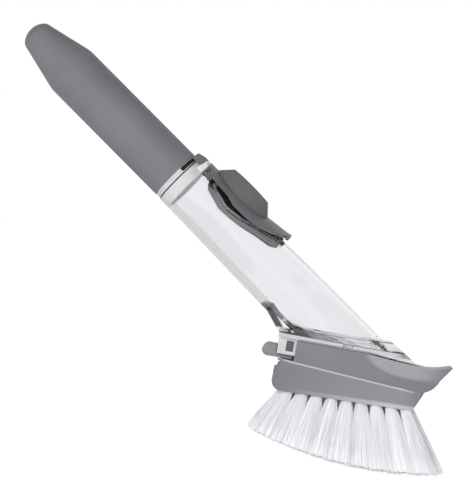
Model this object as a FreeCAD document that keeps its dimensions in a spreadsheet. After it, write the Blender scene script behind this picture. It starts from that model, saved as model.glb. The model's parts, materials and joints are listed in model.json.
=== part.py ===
import FreeCAD, Part
import math
import os
import re

import Sketcher

# Driving sizes in millimetres, angles in degrees. Stations named "..._at" run along the wand's
# axis from the mouth of the handle, positive towards the head. Places on the head run from the
# point where that axis crosses the top of the brush head: forward is positive, depths run down.
SIZES = {
    "cut_overrun": 3.0,
    "press_gap": 0.05,
    "running_gap": 0.3,
    "handle_rise": 35.0,
    "deck_at": 127.5,
    # Handle: a straight grip, a conical end and a flattened dome.
    "grip_radius": 14.3,
    "grip_length": 78.0,
    "grip_wall": 1.7,
    "tip_length": 29.9,
    "tip_dome": 5.4,
    "tip_radius": 8.5,
    "shoulder_blend": 20.0,
    "mouth_round": 0.4,
    # Clear threaded collar in the handle's mouth, and the seal under it.
    "collar_height": 2.7,
    "collar_step": 0.4,
    "sleeve_length": 9.0,
    "seal_height": 0.7,
    "seal_step": 0.3,
    # Neck with its thread.
    "neck_radius": 9.9,
    "neck_wall": 2.0,
    "neck_length": 11.5,
    "thread_pitch": 4.0,
    "thread_depth": 1.1,
    "thread_root_width": 1.9,
    "thread_crest_width": 0.9,
    "thread_runout": 2.2,
    "thread_gap": 0.4,
    # Reservoir tube.
    "tube_top_radius": 14.5,
    "tube_low_radius": 16.0,
    "tube_taper_length": 77.0,
    "tube_wall": 2.2,
    "shoulder_thickness": 2.4,
    "shoulder_slope": 3.0,
    "heel_half_width": 8.0,
    "heel_reach": 2.2,
    "heel_lean": 8.8,
    "heel_height": 8.1,
    "heel_root": 13.2,
    # Boat-shaped flange round the tube's lower end and the base plate under it.
    "plate_lift": 0.3,
    "plate_thickness": 2.2,
    "boat_rear": 36.5,
    "boat_front": 33.6,
    "boat_margin": 1.0,
    "boat_rear_half_width": 13.0,
    "boat_nose_half_width": 3.0,
    "boat_chamfer": 6.0,
    "boat_shoulder": 2.0,
    "flange_rear_height": 4.8,
    "flange_front_height": 7.7,
    "flange_front": 21.4,
    "nose_tip": 36.0,
    "nose_dip": 1.3,
    "nose_root": 22.0,
    # Keel that runs in the head, its feet and the outlet.
    "keel_rear": 26.0,
    "keel_front": 22.0,
    "keel_neck_half_width": 9.8,
    "keel_half_width": 13.2,
    "keel_neck_depth": 4.5,
    "keel_depth": 7.6,
    "foot_rear": 36.0,
    "foot_front": 27.0,
    "foot_inner": 10.5,
    "foot_outer": 16.0,
    "foot_depth": 8.0,
    "foot_wall": 1.9,
    "foot_window_rear": 4.3,
    "foot_window_top": 0.7,
    "outlet_radius": 3.0,
    "valve_radius": 5.6,
    "valve_thickness": 1.3,
    "valve_bulge": 0.7,
    "slit_width": 0.3,
    "slit_length": 5.0,
    "valve_ring_height": 1.4,
    "valve_ring_wall": 1.4,
    # Hinge ears and pin of the press lever.
    "hinge_at": 8.6,
    "hinge_radius": 16.3,
    "pin_radius": 0.8,
    "pin_overhang": 0.2,
    "ear_thickness": 2.0,
    "ear_half_length": 3.6,
    "ear_root_radius": 9.5,
    "ear_top": 1.5,
    # Oval port under the lever, its frame and diaphragm.
    "port_start_at": 23.0,
    "port_end_at": 55.0,
    "port_half_width": 8.0,
    "frame_start_at": 15.4,
    "frame_end_at": 63.7,
    "frame_thickness": 0.8,
    "frame_band": 2.2,
    "frame_rear_side": 7.4,
    "frame_low_side": 3.8,
    "frame_front_side": 10.6,
    "diaphragm_thickness": 0.6,
    # Press lever and thumb pad.
    "lever_start_at": 0.5,
    "lever_end_at": 64.7,
    "lever_neck_end_at": 12.0,
    "lever_neck_half_width": 7.8,
    "lever_neck_gap": 0.45,
    "lever_top_radius": 18.2,
    "lever_rear_drop": 0.6,
    "lever_tip_rise": 2.4,
    "lever_thickness": 1.3,
    "lever_flare_at": 46.0,
    "lever_rear_side": 12.6,
    "lever_low_side": 10.2,
    "lever_front_side": 15.2,
    "lever_half_width": 14.0,
    "lever_nose_at": 50.0,
    "pad_start_at": 14.6,
    "pad_end_at": 49.7,
    "pad_slope_length": 5.7,
    "pad_height": 5.9,
    "pad_crown": 0.5,
    "pad_half_width": 10.0,
    "pad_rear_half_width": 4.5,
    "pad_front_half_width": 6.0,
    # Brush head: carrier with the scraper lip.
    "head_half_width": 17.2,
    "carrier_drop_start": 9.0,
    "carrier_dip_front": 42.0,
    "carrier_dip": 2.5,
    "scraper_reach": 54.5,
    "scraper_rise": 0.4,
    "scraper_half_width": 13.0,
    "scraper_root": 20.0,
    "scraper_belly": 7.5,
    "scraper_belly_reach": 49.0,
    "seam_rear_depth": 10.2,
    "seam_front_depth": 15.1,
    "seam_front": 41.0,
    "rail_gap": 0.4,
    "channel_spare": 2.0,
    "nose_slot_gap": 1.5,
    "deck_thickness": 2.0,
    "chamber_rear": 11.0,
    "chamber_front": 31.0,
    "chamber_half_width": 13.5,
    "soap_port_radius": 4.0,
    # Release tongue with its tab.
    "tongue_hinge": 15.0,
    "tongue_depth": 8.5,
    "tongue_thickness": 1.7,
    "tongue_half_width": 7.5,
    "tab_half_width": 13.0,
    "tab_reach": 43.8,
    "tab_round": 3.4,
    "tab_top_depth": 4.0,
    "tab_wide_front": 27.6,
    "tongue_slot_gap": 0.5,
    # Brush block.
    "block_rear": 36.2,
    "block_front": 42.7,
    "block_front_low": 37.5,
    "block_bow": 16.0,
    "block_nose_half_width": 5.2,
    "block_rear_depth": 26.7,
    "block_front_depth": 25.0,
    "block_corner": 8.0,
    "block_heel_round": 5.0,
    "block_pocket_depth": 5.2,
    "notch_length": 2.4,
    "notch_drop": 1.2,
    "notch_height": 2.3,
    "soap_hole_radius": 1.7,
    # Tufts, their holes and the wire anchors that hold them.
    "outer_row_rear": -26.6,
    "outer_row_front": 34.2,
    "inner_row_rear": -28.8,
    "inner_row_front": 36.2,
    "row_pitch": 6.4,
    "tuft_root_radius": 1.5,
    "tuft_tip_radius": 4.0,
    "tuft_root_depth": 7.0,
    "tuft_rear_length": 22.8,
    "tuft_front_length": 34.4,
    "tuft_crown": 1.6,
    "tuft_rear_lean": -21.0,
    "tuft_front_lean": 28.0,
    "tuft_splay": 10.0,
    "tuft_hole_radius": 2.3,
    "tuft_hole_depth": 8.0,
    "anchor_width": 0.5,
    "anchor_length": 3.4,
    "anchor_height": 0.8,
}

# Outline shares, chosen by hand: how far along, then how far across.
DOME_SHARES = ((0.48, 0.13), (0.80, 0.43), (0.93, 0.67))
LEVER_EDGE_SHARES = ((0.30, 0.64), (0.40, 0.0), (0.55, 0.0), (0.69, 0.19), (0.84, 0.66))
FRAME_EDGE_SHARES = ((0.13, 0.68), (0.30, 0.0), (0.52, 0.17), (0.70, 0.53))
ARC_MIDDLE_SHARE = 0.293
VALVE_CURVE_SHARES = (0.5, 0.75)
BOAT_BOW_SHARES = (0.55, 0.79)
NOSE_ROUND_SHARE = 0.72
CARRIER_BOW_SHARES = (0.6, 0.3)
DIP_CURVE_SHARES = (0.45, 0.55)
SCRAPER_CURVE_SHARES = (0.55, 0.38)
BELLY_CURVE_SHARES = (0.42, 0.22)
BLOCK_BOW_SHARES = (0.75, 0.28)

OUTER_TUFTS = 9
INNER_TUFTS = 10
TUFT_ROWS = 5
SOAP_HOLE_PLACES = (2, 4, 6)
THREAD_TURNS = 2
GROOVE_TURNS = 4

doc = FreeCAD.newDocument("DishWand")
sheet = doc.addObject("Spreadsheet::Sheet", "Sizes")
for row, (name, size) in enumerate(SIZES.items(), start=1):
    sheet.set(f"A{row}", name)
    sheet.set(f"B{row}", str(size))
    sheet.setAlias(f"B{row}", name)
doc.recompute()

WORD = re.compile(r"[a-z][a-z_]+")
IDENTITY = FreeCAD.Placement()
nodes = []


def formula(text):
    """A formula in plain size names, with each name pointing at its cell."""
    return WORD.sub(lambda word: "Sizes." + word.group() if word.group() in SIZES else word.group(), text)


def value(text):
    """What a formula of size names comes to."""
    return float(sheet.evalExpression(formula(text)))


def bind(thing, prop, text):
    """Ties one size of an object to the sheet."""
    thing.setExpression(prop, formula(text))


def at(station):
    """A station along the axis, counted from the middle of the grip."""
    return f"(grip_length / 2 + {station})"


def between(start, end, share):
    """A formula for the place that a share of the way leads to."""
    return f"({start}) + (({end}) - ({start})) * {share}"


def moved(x="0", y="0", z="0"):
    """A placement shifted by three formulas."""
    return FreeCAD.Placement(FreeCAD.Vector(value(x), value(y), value(z)), FreeCAD.Rotation())


# Sketch frames: side view (across, along), front view of the section, and plan.
SIDE = FreeCAD.Placement(FreeCAD.Vector(), FreeCAD.Rotation(FreeCAD.Vector(1, 0, 0), 90))
SECTION = FreeCAD.Placement(
    FreeCAD.Vector(),
    FreeCAD.Rotation(FreeCAD.Vector(0, 1, 0), FreeCAD.Vector(0, 0, 1), FreeCAD.Vector(1, 0, 0), "ZXY"),
)

# The wand's own frame: Z runs down the axis to the head, X points at the lever's side.
rise = math.radians(value("handle_rise"))
AXIS = FreeCAD.Vector(math.cos(rise), 0, -math.sin(rise))
LEVER_SIDE = FreeCAD.Vector(math.sin(rise), 0, math.cos(rise))
WAND = FreeCAD.Placement(FreeCAD.Vector(), FreeCAD.Rotation(LEVER_SIDE, AXIS.cross(LEVER_SIDE), AXIS, "ZXY"))
HEAD = FreeCAD.Placement(AXIS * value(at("deck_at")), FreeCAD.Rotation())
DECK_IN_WAND = WAND.inverse().multiply(HEAD)


def new_body(label, frame):
    """An empty body in the wand's or the head's frame."""
    body = doc.addObject("PartDesign::Body", label)
    body.Label = label
    body.Placement = frame
    return body


def origin_feature(body, role):
    """A plane or axis of a body's own origin."""
    return next(feature for feature in body.Origin.OriginFeatures if feature.Role == role)


def new_sketch(body, name, frame):
    """An empty sketch on a frame of the body."""
    sketch = body.newObject("Sketcher::SketchObject", name)
    sketch.AttachmentSupport = [(origin_feature(body, "XY_Plane"), "")]
    sketch.MapMode = "FlatFace"
    sketch.AttachmentOffset = frame
    return sketch


def pin_point(sketch, geometry, corner, pair):
    """Ties one point of a sketch to two formulas."""
    for kind, text in zip(("DistanceX", "DistanceY"), pair):
        index = sketch.addConstraint(Sketcher.Constraint(kind, -1, 1, geometry, corner, value(text)))
        bind(sketch, f"Constraints[{index}]", text)


def draw_outline(sketch, points):
    """Adds a closed outline. A point is two formulas; a third entry marks a point that an arc passes."""
    corners = [point for point in points if len(point) == 2]
    spots = {point: FreeCAD.Vector(value(point[0]), value(point[1]), 0) for point in points}
    ends = []
    for order, point in enumerate(points):
        if len(point) == 3:
            continue
        following = points[(order + 1) % len(points)]
        if len(following) == 2:
            edge = sketch.addGeometry(Part.LineSegment(spots[point], spots[following]))
            ends.append((edge, 1, 2))
            continue
        landing = points[(order + 2) % len(points)]
        edge = sketch.addGeometry(Part.Arc(spots[point], spots[following], spots[landing]))
        forward = sketch.getPoint(edge, 1).distanceToPoint(spots[point])
        backward = sketch.getPoint(edge, 2).distanceToPoint(spots[point])
        ends.append((edge, 1, 2) if forward < backward else (edge, 2, 1))
        through = sketch.addGeometry(Part.Point(spots[following]), True)
        pin_point(sketch, through, 1, following[:2])
        sketch.addConstraint(Sketcher.Constraint("PointOnObject", through, 1, edge))
    for order, (edge, start, finish) in enumerate(ends):
        following_edge, following_start, _ = ends[(order + 1) % len(ends)]
        sketch.addConstraint(Sketcher.Constraint("Coincident", edge, finish, following_edge, following_start))
        pin_point(sketch, edge, start, corners[order])


def draw_circle(sketch, centre, radius):
    """Adds a circle whose centre and radius follow formulas."""
    spot = FreeCAD.Vector(value(centre[0]), value(centre[1]), 0)
    circle = sketch.addGeometry(Part.Circle(spot, FreeCAD.Vector(0, 0, 1), value(radius)))
    pin_point(sketch, circle, 3, centre)
    index = sketch.addConstraint(Sketcher.Constraint("Radius", circle, value(radius)))
    bind(sketch, f"Constraints[{index}]", radius)


def outline(body, name, frame, *loops):
    """A sketch of one or more closed outlines."""
    sketch = new_sketch(body, name, frame)
    for loop in loops:
        draw_outline(sketch, loop)
    return sketch


def box_loop(left, right, low, high):
    """The four corners of an upright rectangle."""
    return ((left, low), (right, low), (right, high), (left, high))


def mirrored_loop(half):
    """A closed outline from its half with positive second places, mirrored across zero."""
    other = [(point[0], f"-({point[1]})") + tuple(point[2:]) for point in reversed(half)]
    return tuple(half) + tuple(other)


def pad(body, sketch, length, symmetric=False, backward=False):
    """Raises a sketch into the solid."""
    feature = body.newObject("PartDesign::Pad", sketch.Name + "_pad")
    feature.Profile = sketch
    bind(feature, "Length", length)
    feature.SideType = "Symmetric" if symmetric else "One side"
    feature.Reversed = backward
    doc.recompute()
    return feature


def pocket(body, sketch, length, symmetric=False, backward=False):
    """Cuts a sketch out of the solid, and makes sure that it did."""
    before = body.Shape.Volume
    feature = body.newObject("PartDesign::Pocket", sketch.Name + "_pocket")
    feature.Profile = sketch
    bind(feature, "Length", length)
    feature.SideType = "Symmetric" if symmetric else "One side"
    feature.Reversed = backward
    doc.recompute()
    check_removed(feature, body, before)
    return feature


def revolve(body, sketch):
    """Turns a side sketch about the body's own axis."""
    feature = body.newObject("PartDesign::Revolution", sketch.Name + "_turned")
    feature.Profile = sketch
    feature.ReferenceAxis = (sketch, ["V_Axis"])
    doc.recompute()
    return feature


def groove(body, sketch):
    """Cuts a turned side sketch out of the solid."""
    before = body.Shape.Volume
    feature = body.newObject("PartDesign::Groove", sketch.Name + "_bored")
    feature.Profile = sketch
    feature.ReferenceAxis = (sketch, ["V_Axis"])
    doc.recompute()
    check_removed(feature, body, before)
    return feature


def thread(body, kind, sketch, turns):
    """Winds a sketch round the body's axis, added or cut away."""
    feature = body.newObject(kind, sketch.Name + "_wound")
    feature.Profile = sketch
    feature.ReferenceAxis = (origin_feature(body, "Z_Axis"), [""])
    feature.Mode = "pitch-turns-angle"
    bind(feature, "Pitch", "thread_pitch")
    feature.Turns = turns
    doc.recompute()
    return feature


def check_removed(feature, body, before):
    """Stops the build if a cut took nothing away."""
    if body.Shape.Volume >= before:
        raise RuntimeError(f"{feature.Name} cut nothing")


def round_edges(body, base, edges, radius):
    """Rounds the edges of a feature that a test picks out."""
    names = [f"Edge{order}" for order, edge in enumerate(base.Shape.Edges, start=1) if edges(edge)]
    feature = body.newObject("PartDesign::Fillet", base.Name + "_rounded")
    feature.Base = (base, names)
    bind(feature, "Radius", radius)
    doc.recompute()
    return feature


def ring_edge(radius, height):
    """A test for the round edge of one radius at one height of a body."""
    wanted_radius, wanted_height = value(radius), value(height)

    def matches(edge):
        if edge.Degenerated or not isinstance(edge.Curve, Part.Circle):
            return False
        return (
            math.isclose(edge.Curve.Radius, wanted_radius, rel_tol=1e-6)
            and math.isclose(edge.Curve.Center.z, wanted_height, rel_tol=1e-6)
        )

    return matches


def keep(thing):
    """Marks an object as a finished piece of the wand."""
    nodes.append(thing)
    return thing


def tube_radius(station):
    """The tube's outer radius at a station on its taper."""
    return (
        "(tube_top_radius + (tube_low_radius - tube_top_radius)"
        f" * ({station} - collar_height - seal_height) / tube_taper_length)"
    )


MOUTH = at("0")
COLLAR_RADIUS = "(tube_top_radius - collar_step)"
SEAL_RADIUS = "(tube_top_radius - seal_step)"
TUBE_START = at("collar_height + seal_height")
SEAM_HEIGHT = "plate_lift + plate_thickness"
CUT_WIDTH = "4 * head_half_width"
BOAT_HALF_WIDTH = "(tube_low_radius + boat_margin)"
BOW_SLOPE = "((flange_front_height + nose_dip) / (nose_tip - flange_front))"
LEVER_REAR_RADIUS = "(lever_top_radius - lever_rear_drop)"
LEVER_TIP_RADIUS = "(lever_top_radius + lever_tip_rise)"
PAD_TOP_RADIUS = "(lever_top_radius + pad_height)"
EAR_INNER = "(lever_neck_half_width + running_gap)"
PIN_REACH = f"({EAR_INNER} + ear_thickness + pin_overhang)"
CARRIER_REAR = "(foot_front - running_gap)"
CHANNEL_FRONT = "(keel_front + channel_spare)"
LIP_DEPTH = "(keel_neck_depth - running_gap)"
CHANNEL_DEPTH = "(keel_depth + 2 * running_gap)"


def make_handle():
    """Hollow handle shell."""
    body = new_body("handle_grip", WAND)
    tip = "-(grip_length / 2 + tip_length)"
    shoulder = "-grip_length / 2"
    dome = [(f"tip_radius * {across}", f"{tip} + tip_dome * {along}") for across, along in DOME_SHARES]
    shell = outline(
        body, "handle_outside", SIDE,
        (
            ("0", tip), dome[0] + ("arc",), dome[1], dome[2] + ("arc",),
            ("tip_radius", f"{tip} + tip_dome"), ("grip_radius", shoulder), ("grip_radius", MOUTH),
            ("0", MOUTH),
        ),
    )
    turned = revolve(body, shell)
    turned = round_edges(body, turned, ring_edge("grip_radius", shoulder), "shoulder_blend")
    round_edges(body, turned, ring_edge("grip_radius", MOUTH), "mouth_round")
    hollow = outline(
        body, "handle_hollow", SIDE,
        (
            ("0", f"{tip} + tip_dome"), ("tip_radius - grip_wall", f"{tip} + tip_dome"),
            ("grip_radius - grip_wall", shoulder), ("grip_radius - grip_wall", f"{MOUTH} + cut_overrun"),
            ("0", f"{MOUTH} + cut_overrun"),
        ),
    )
    groove(body, hollow)
    return keep(body)


def thread_profile(body, name, inner, depth, centre, spare):
    """The section of the neck's thread, with spare room all round."""
    root = f"(thread_root_width / 2 + {spare})"
    crest = f"(thread_crest_width / 2 + {spare})"
    return outline(
        body, name, SIDE,
        (
            (inner, f"{centre} - {root}"), (depth, f"{centre} - {crest}"),
            (depth, f"{centre} + {crest}"), (inner, f"{centre} + {root}"),
        ),
    )


THREAD_START = f"({TUBE_START} - thread_runout - {THREAD_TURNS} * thread_pitch)"


def make_collar():
    """Clear threaded collar fixed in the handle's mouth."""
    body = new_body("handle_collar", WAND)
    bore = "neck_radius + thread_gap"
    sleeve = "grip_radius - grip_wall - press_gap"
    section = outline(
        body, "collar_section", SIDE,
        (
            (bore, f"{MOUTH} - sleeve_length"), (sleeve, f"{MOUTH} - sleeve_length"), (sleeve, MOUTH),
            (COLLAR_RADIUS, MOUTH), (COLLAR_RADIUS, f"{MOUTH} + collar_height"),
            (bore, f"{MOUTH} + collar_height"),
        ),
    )
    revolve(body, section)
    before = body.Shape.Volume
    cut = thread_profile(
        body, "collar_thread", f"{bore} - thread_gap / 2", "neck_radius + thread_depth + thread_gap",
        f"({THREAD_START} - thread_pitch)", "thread_gap",
    )
    feature = thread(body, "PartDesign::SubtractiveHelix", cut, GROOVE_TURNS)
    check_removed(feature, body, before)
    return keep(body)


def make_seal():
    """Seal ring between the collar and the tube's shoulder."""
    body = new_body("handle_seal", WAND)
    inner = "neck_radius + thread_depth + thread_gap"
    section = outline(
        body, "seal_section", SIDE,
        box_loop(inner, SEAL_RADIUS, f"{MOUTH} + collar_height + press_gap", f"{TUBE_START} - press_gap"),
    )
    revolve(body, section)
    return keep(body)


def boat_outline(front):
    """Plan of the flange and the base plate: square rear, long sides and a rounded bow."""
    bow_along, bow_across = BOAT_BOW_SHARES
    half = (
        ("-boat_rear", "boat_rear_half_width"),
        ("boat_chamfer - boat_rear", BOAT_HALF_WIDTH), ("boat_shoulder", BOAT_HALF_WIDTH),
        (between("boat_shoulder", front, bow_along), f"{BOAT_HALF_WIDTH} * {bow_across}", "arc"),
        (front, "boat_nose_half_width"),
    )
    return mirrored_loop(half)


def bow_trim(top_rear, top_front):
    """What lies above the flange's sloping top and its bow."""
    return (
        ("-boat_rear - cut_overrun", top_rear), ("flange_front", top_front),
        ("nose_tip + cut_overrun", f"-nose_dip - cut_overrun * {BOW_SLOPE}"),
        ("nose_tip + cut_overrun", "3 * flange_front_height"),
        ("-boat_rear - cut_overrun", "3 * flange_front_height"),
    )


def make_tube():
    """Clear reservoir tube with its neck, flange, heel and hinge ears."""
    body = new_body("reservoir_tube", WAND)
    flange_floor = DECK_IN_WAND.multiply(moved(z=SEAM_HEIGHT))
    flange = outline(body, "tube_flange", flange_floor, boat_outline("boat_front"))
    pad(body, flange, f"flange_front_height - ({SEAM_HEIGHT})")
    trim = outline(
        body, "flange_trim", DECK_IN_WAND.multiply(SIDE),
        bow_trim("flange_rear_height", "flange_front_height"),
    )
    pocket(body, trim, CUT_WIDTH, symmetric=True)

    foot = f"({at('deck_at')} + (tube_low_radius + cut_overrun) / tan(handle_rise))"
    taper_end = f"({TUBE_START} + tube_taper_length)"
    outside = outline(
        body, "tube_outside", SIDE,
        (
            ("0", f"{TUBE_START} - neck_length"), ("neck_radius", f"{TUBE_START} - neck_length"),
            ("neck_radius", TUBE_START), ("tube_top_radius", TUBE_START), ("tube_low_radius", taper_end),
            ("tube_low_radius", foot), ("0", foot),
        ),
    )
    revolve(body, outside)

    heel = outline(
        body, "tube_heel", DECK_IN_WAND.multiply(SIDE),
        (
            ("-boat_rear - heel_reach", "flange_rear_height"),
            ("-boat_rear - heel_lean", "flange_rear_height + heel_height"),
            ("-boat_rear + heel_root", "flange_rear_height + heel_height"),
            ("-boat_rear + heel_root", SEAM_HEIGHT), ("-boat_rear", SEAM_HEIGHT),
        ),
    )
    pad(body, heel, "2 * heel_half_width", symmetric=True)

    hinge = at("hinge_at")
    for side, offset in (("near", EAR_INNER), ("far", f"-{EAR_INNER} - ear_thickness")):
        ear = outline(
            body, f"ear_{side}", moved(y=f"{offset} + ear_thickness").multiply(SIDE),
            (
                ("ear_root_radius", f"{hinge} - ear_half_length"), ("hinge_radius", f"{hinge} - ear_top"),
                ("hinge_radius + ear_top", hinge, "arc"), ("hinge_radius", f"{hinge} + ear_top"),
                ("ear_root_radius", f"{hinge} + ear_half_length"),
            ),
        )
        pad(body, ear, "ear_thickness")

    inside = outline(
        body, "tube_inside", SIDE,
        (
            ("0", f"{TUBE_START} - neck_length - cut_overrun"),
            ("neck_radius - neck_wall", f"{TUBE_START} - neck_length - cut_overrun"),
            ("neck_radius - neck_wall", f"{TUBE_START} + shoulder_thickness"),
            ("tube_top_radius - tube_wall", f"{TUBE_START} + shoulder_thickness + shoulder_slope"),
            ("tube_low_radius - tube_wall", taper_end),
            ("tube_low_radius - tube_wall", f"{foot} + cut_overrun"),
            ("0", f"{foot} + cut_overrun"),
        ),
    )
    groove(body, inside)

    seam = outline(
        body, "tube_seam", DECK_IN_WAND.multiply(SIDE),
        box_loop("-3 * boat_rear", "3 * boat_rear", "-3 * boat_rear", SEAM_HEIGHT),
    )
    pocket(body, seam, CUT_WIDTH, symmetric=True)

    port = outline(
        body, "pump_port", SECTION,
        (
            ("-port_half_width", at("port_start_at + port_half_width")), ("0", at("port_start_at"), "arc"),
            ("port_half_width", at("port_start_at + port_half_width")),
            ("port_half_width", at("port_end_at - port_half_width")), ("0", at("port_end_at"), "arc"),
            ("-port_half_width", at("port_end_at - port_half_width")),
        ),
    )
    pocket(body, port, "tube_low_radius + cut_overrun", backward=True)

    bore = new_sketch(body, "pin_bore", SIDE)
    draw_circle(bore, ("hinge_radius", hinge), "pin_radius + press_gap")
    pocket(body, bore, CUT_WIDTH, symmetric=True)

    rib = thread_profile(
        body, "neck_thread", "neck_radius - thread_gap", "neck_radius + thread_depth", THREAD_START, "0",
    )
    thread(body, "PartDesign::AdditiveHelix", rib, THREAD_TURNS)
    return keep(body)


def make_base():
    """Clear base plate with the keel that the head slides on, two feet and the outlet."""
    body = new_body("reservoir_base", HEAD)
    plate = outline(body, "base_plate", moved(z="plate_lift"), boat_outline("boat_front"))
    pad(body, plate, "plate_thickness")
    nose = outline(
        body, "base_nose", SIDE,
        (
            ("nose_root", "plate_lift"), (f"nose_tip - (plate_lift + nose_dip) / {BOW_SLOPE}", "plate_lift"),
            ("nose_tip", "-nose_dip"), (f"nose_tip * {NOSE_ROUND_SHARE}", "-nose_dip"),
        ),
    )
    pad(body, nose, "2 * boat_nose_half_width", symmetric=True)
    trim = outline(body, "base_trim", SIDE, bow_trim(SEAM_HEIGHT, "flange_front_height"))
    pocket(body, trim, CUT_WIDTH, symmetric=True)

    half_keel = (
        ("plate_lift", "keel_neck_half_width"), ("-keel_neck_depth", "keel_neck_half_width"),
        ("-keel_neck_depth", "keel_half_width"), ("-keel_depth", "keel_half_width"),
    )
    section = tuple((across, height) for height, across in mirrored_loop(half_keel))
    keel = outline(body, "base_keel", moved(x="-keel_rear").multiply(SECTION), section)
    pad(body, keel, "keel_rear + keel_front")

    feet = outline(
        body, "base_feet", moved(z="plate_lift"),
        box_loop("-foot_rear", "-foot_front", "foot_inner", "foot_outer"),
        box_loop("-foot_rear", "-foot_front", "-foot_outer", "-foot_inner"),
    )
    pad(body, feet, "foot_depth + plate_lift", backward=True)
    window = outline(
        body, "foot_windows", SIDE,
        box_loop(
            "-foot_rear + foot_window_rear", "-foot_front - foot_wall / 2",
            "-foot_depth + foot_wall", "-foot_window_top",
        ),
    )
    pocket(body, window, CUT_WIDTH, symmetric=True)

    outlet = new_sketch(body, "base_outlet", moved(z=SEAM_HEIGHT))
    draw_circle(outlet, ("0", "0"), "outlet_radius")
    pocket(body, outlet, f"{SEAM_HEIGHT} + keel_depth + cut_overrun")
    seat = new_sketch(body, "valve_seat", moved(z="-keel_depth"))
    draw_circle(seat, ("0", "0"), "valve_radius + valve_ring_wall / 2")
    pocket(body, seat, "valve_thickness + valve_ring_height + running_gap", backward=True)
    return keep(body)


def make_valve():
    """Silicone slit valve in the base's outlet."""
    body = new_body("outlet_valve", HEAD)
    top = "-keel_depth + valve_ring_height + running_gap + valve_thickness"
    curve_across, curve_down = VALVE_CURVE_SHARES
    section = outline(
        body, "valve_section", SIDE,
        (
            ("0", top), ("valve_radius", top), ("valve_radius", f"{top} - valve_thickness"),
            ("outlet_radius", f"{top} - valve_thickness"),
            (f"outlet_radius * {curve_across}", f"{top} - valve_thickness - valve_bulge * {curve_down}",
             "arc"),
            ("0", f"{top} - valve_thickness - valve_bulge"),
        ),
    )
    revolve(body, section)
    slits = (("long", "slit_length", "slit_width"), ("cross", "slit_width", "slit_length"))
    for name, length, width in slits:
        slit = outline(
            body, f"valve_slit_{name}", IDENTITY,
            box_loop(f"-{length} / 2", f"{length} / 2", f"-{width} / 2", f"{width} / 2"),
        )
        pocket(body, slit, "2 * keel_depth")
    return keep(body)


def make_valve_ring():
    """Ring pressed in under the valve."""
    body = new_body("valve_ring", HEAD)
    outer = "valve_radius + valve_ring_wall / 2 - press_gap"
    section = outline(
        body, "ring_section", SIDE,
        box_loop(f"{outer} - valve_ring_wall", outer, "-keel_depth", "-keel_depth + valve_ring_height"),
    )
    revolve(body, section)
    return keep(body)


def edge_points(shares, start, end, low, rear, front):
    """Side edge that falls from the rear to its lowest stretch and climbs to the front."""
    points = []
    for along, across in shares:
        height = between(low, rear if along < shares[1][0] else front, across)
        points.append((height, between(start, end, along)))
    return points


def shell_body(label, start, end, inner_gap, outer_gap):
    """A turned shell that follows the tube's taper between two stations."""
    body = new_body(label, WAND)
    section = outline(
        body, label + "_shell", SIDE,
        (
            (f"{tube_radius(start)} + {inner_gap}", at(start)),
            (f"{tube_radius(start)} + {outer_gap}", at(start)),
            (f"{tube_radius(end)} + {outer_gap}", at(end)), (f"{tube_radius(end)} + {inner_gap}", at(end)),
        ),
    )
    revolve(body, section)
    return body


def frame_edge(inset, start, end):
    """Side edge of the diaphragm frame, raised by an inset."""
    shares = FRAME_EDGE_SHARES
    low = f"frame_low_side + {inset}"
    rear = f"frame_rear_side + {inset}"
    front = f"frame_front_side + {inset}"
    spots = edge_points(shares, start, end, low, rear, front)
    return (
        (rear, start), spots[0] + ("arc",), spots[1], spots[2] + ("arc",), spots[3], (front, end),
    )


def make_frame():
    """Saddle frame that holds the diaphragm down round the port."""
    body = shell_body("diaphragm_frame", "frame_start_at", "frame_end_at", "press_gap", "frame_thickness")
    start, end = at("frame_start_at"), at("frame_end_at")
    deep = "-2 * tube_low_radius"
    below = outline(
        body, "frame_below", SIDE,
        frame_edge("0", f"{start} - cut_overrun", f"{end} + cut_overrun")
        + ((deep, f"{end} + cut_overrun"), (deep, f"{start} - cut_overrun")),
    )
    pocket(body, below, CUT_WIDTH, symmetric=True)
    high = "2 * tube_low_radius"
    inside = outline(
        body, "frame_inside", SIDE,
        frame_edge("frame_band", f"{start} + frame_band", f"{end} - frame_band")
        + ((high, f"{end} - frame_band"), (high, f"{start} + frame_band")),
    )
    pocket(body, inside, CUT_WIDTH, symmetric=True)
    return keep(body)


def make_diaphragm():
    """Soft pump diaphragm inside the frame."""
    start, end = "frame_start_at + frame_band + running_gap", "frame_end_at - frame_band - running_gap"
    body = shell_body("pump_diaphragm", start, end, "press_gap", "diaphragm_thickness")
    deep = "-2 * tube_low_radius"
    below = outline(
        body, "diaphragm_below", SIDE,
        frame_edge("frame_band + running_gap", at(start), at(end))
        + ((deep, at(end)), (deep, at(start))),
    )
    pocket(body, below, CUT_WIDTH, symmetric=True)
    return keep(body)


def lever_top(lift):
    """Outer line of the lever from its rear end to its flared tip, raised by a lift."""
    return (
        (f"{LEVER_REAR_RADIUS} + {lift}", at("lever_start_at")),
        (f"lever_top_radius + {lift}", at("lever_flare_at")),
        (f"{LEVER_TIP_RADIUS} + {lift}", at("lever_end_at")),
    )


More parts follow.
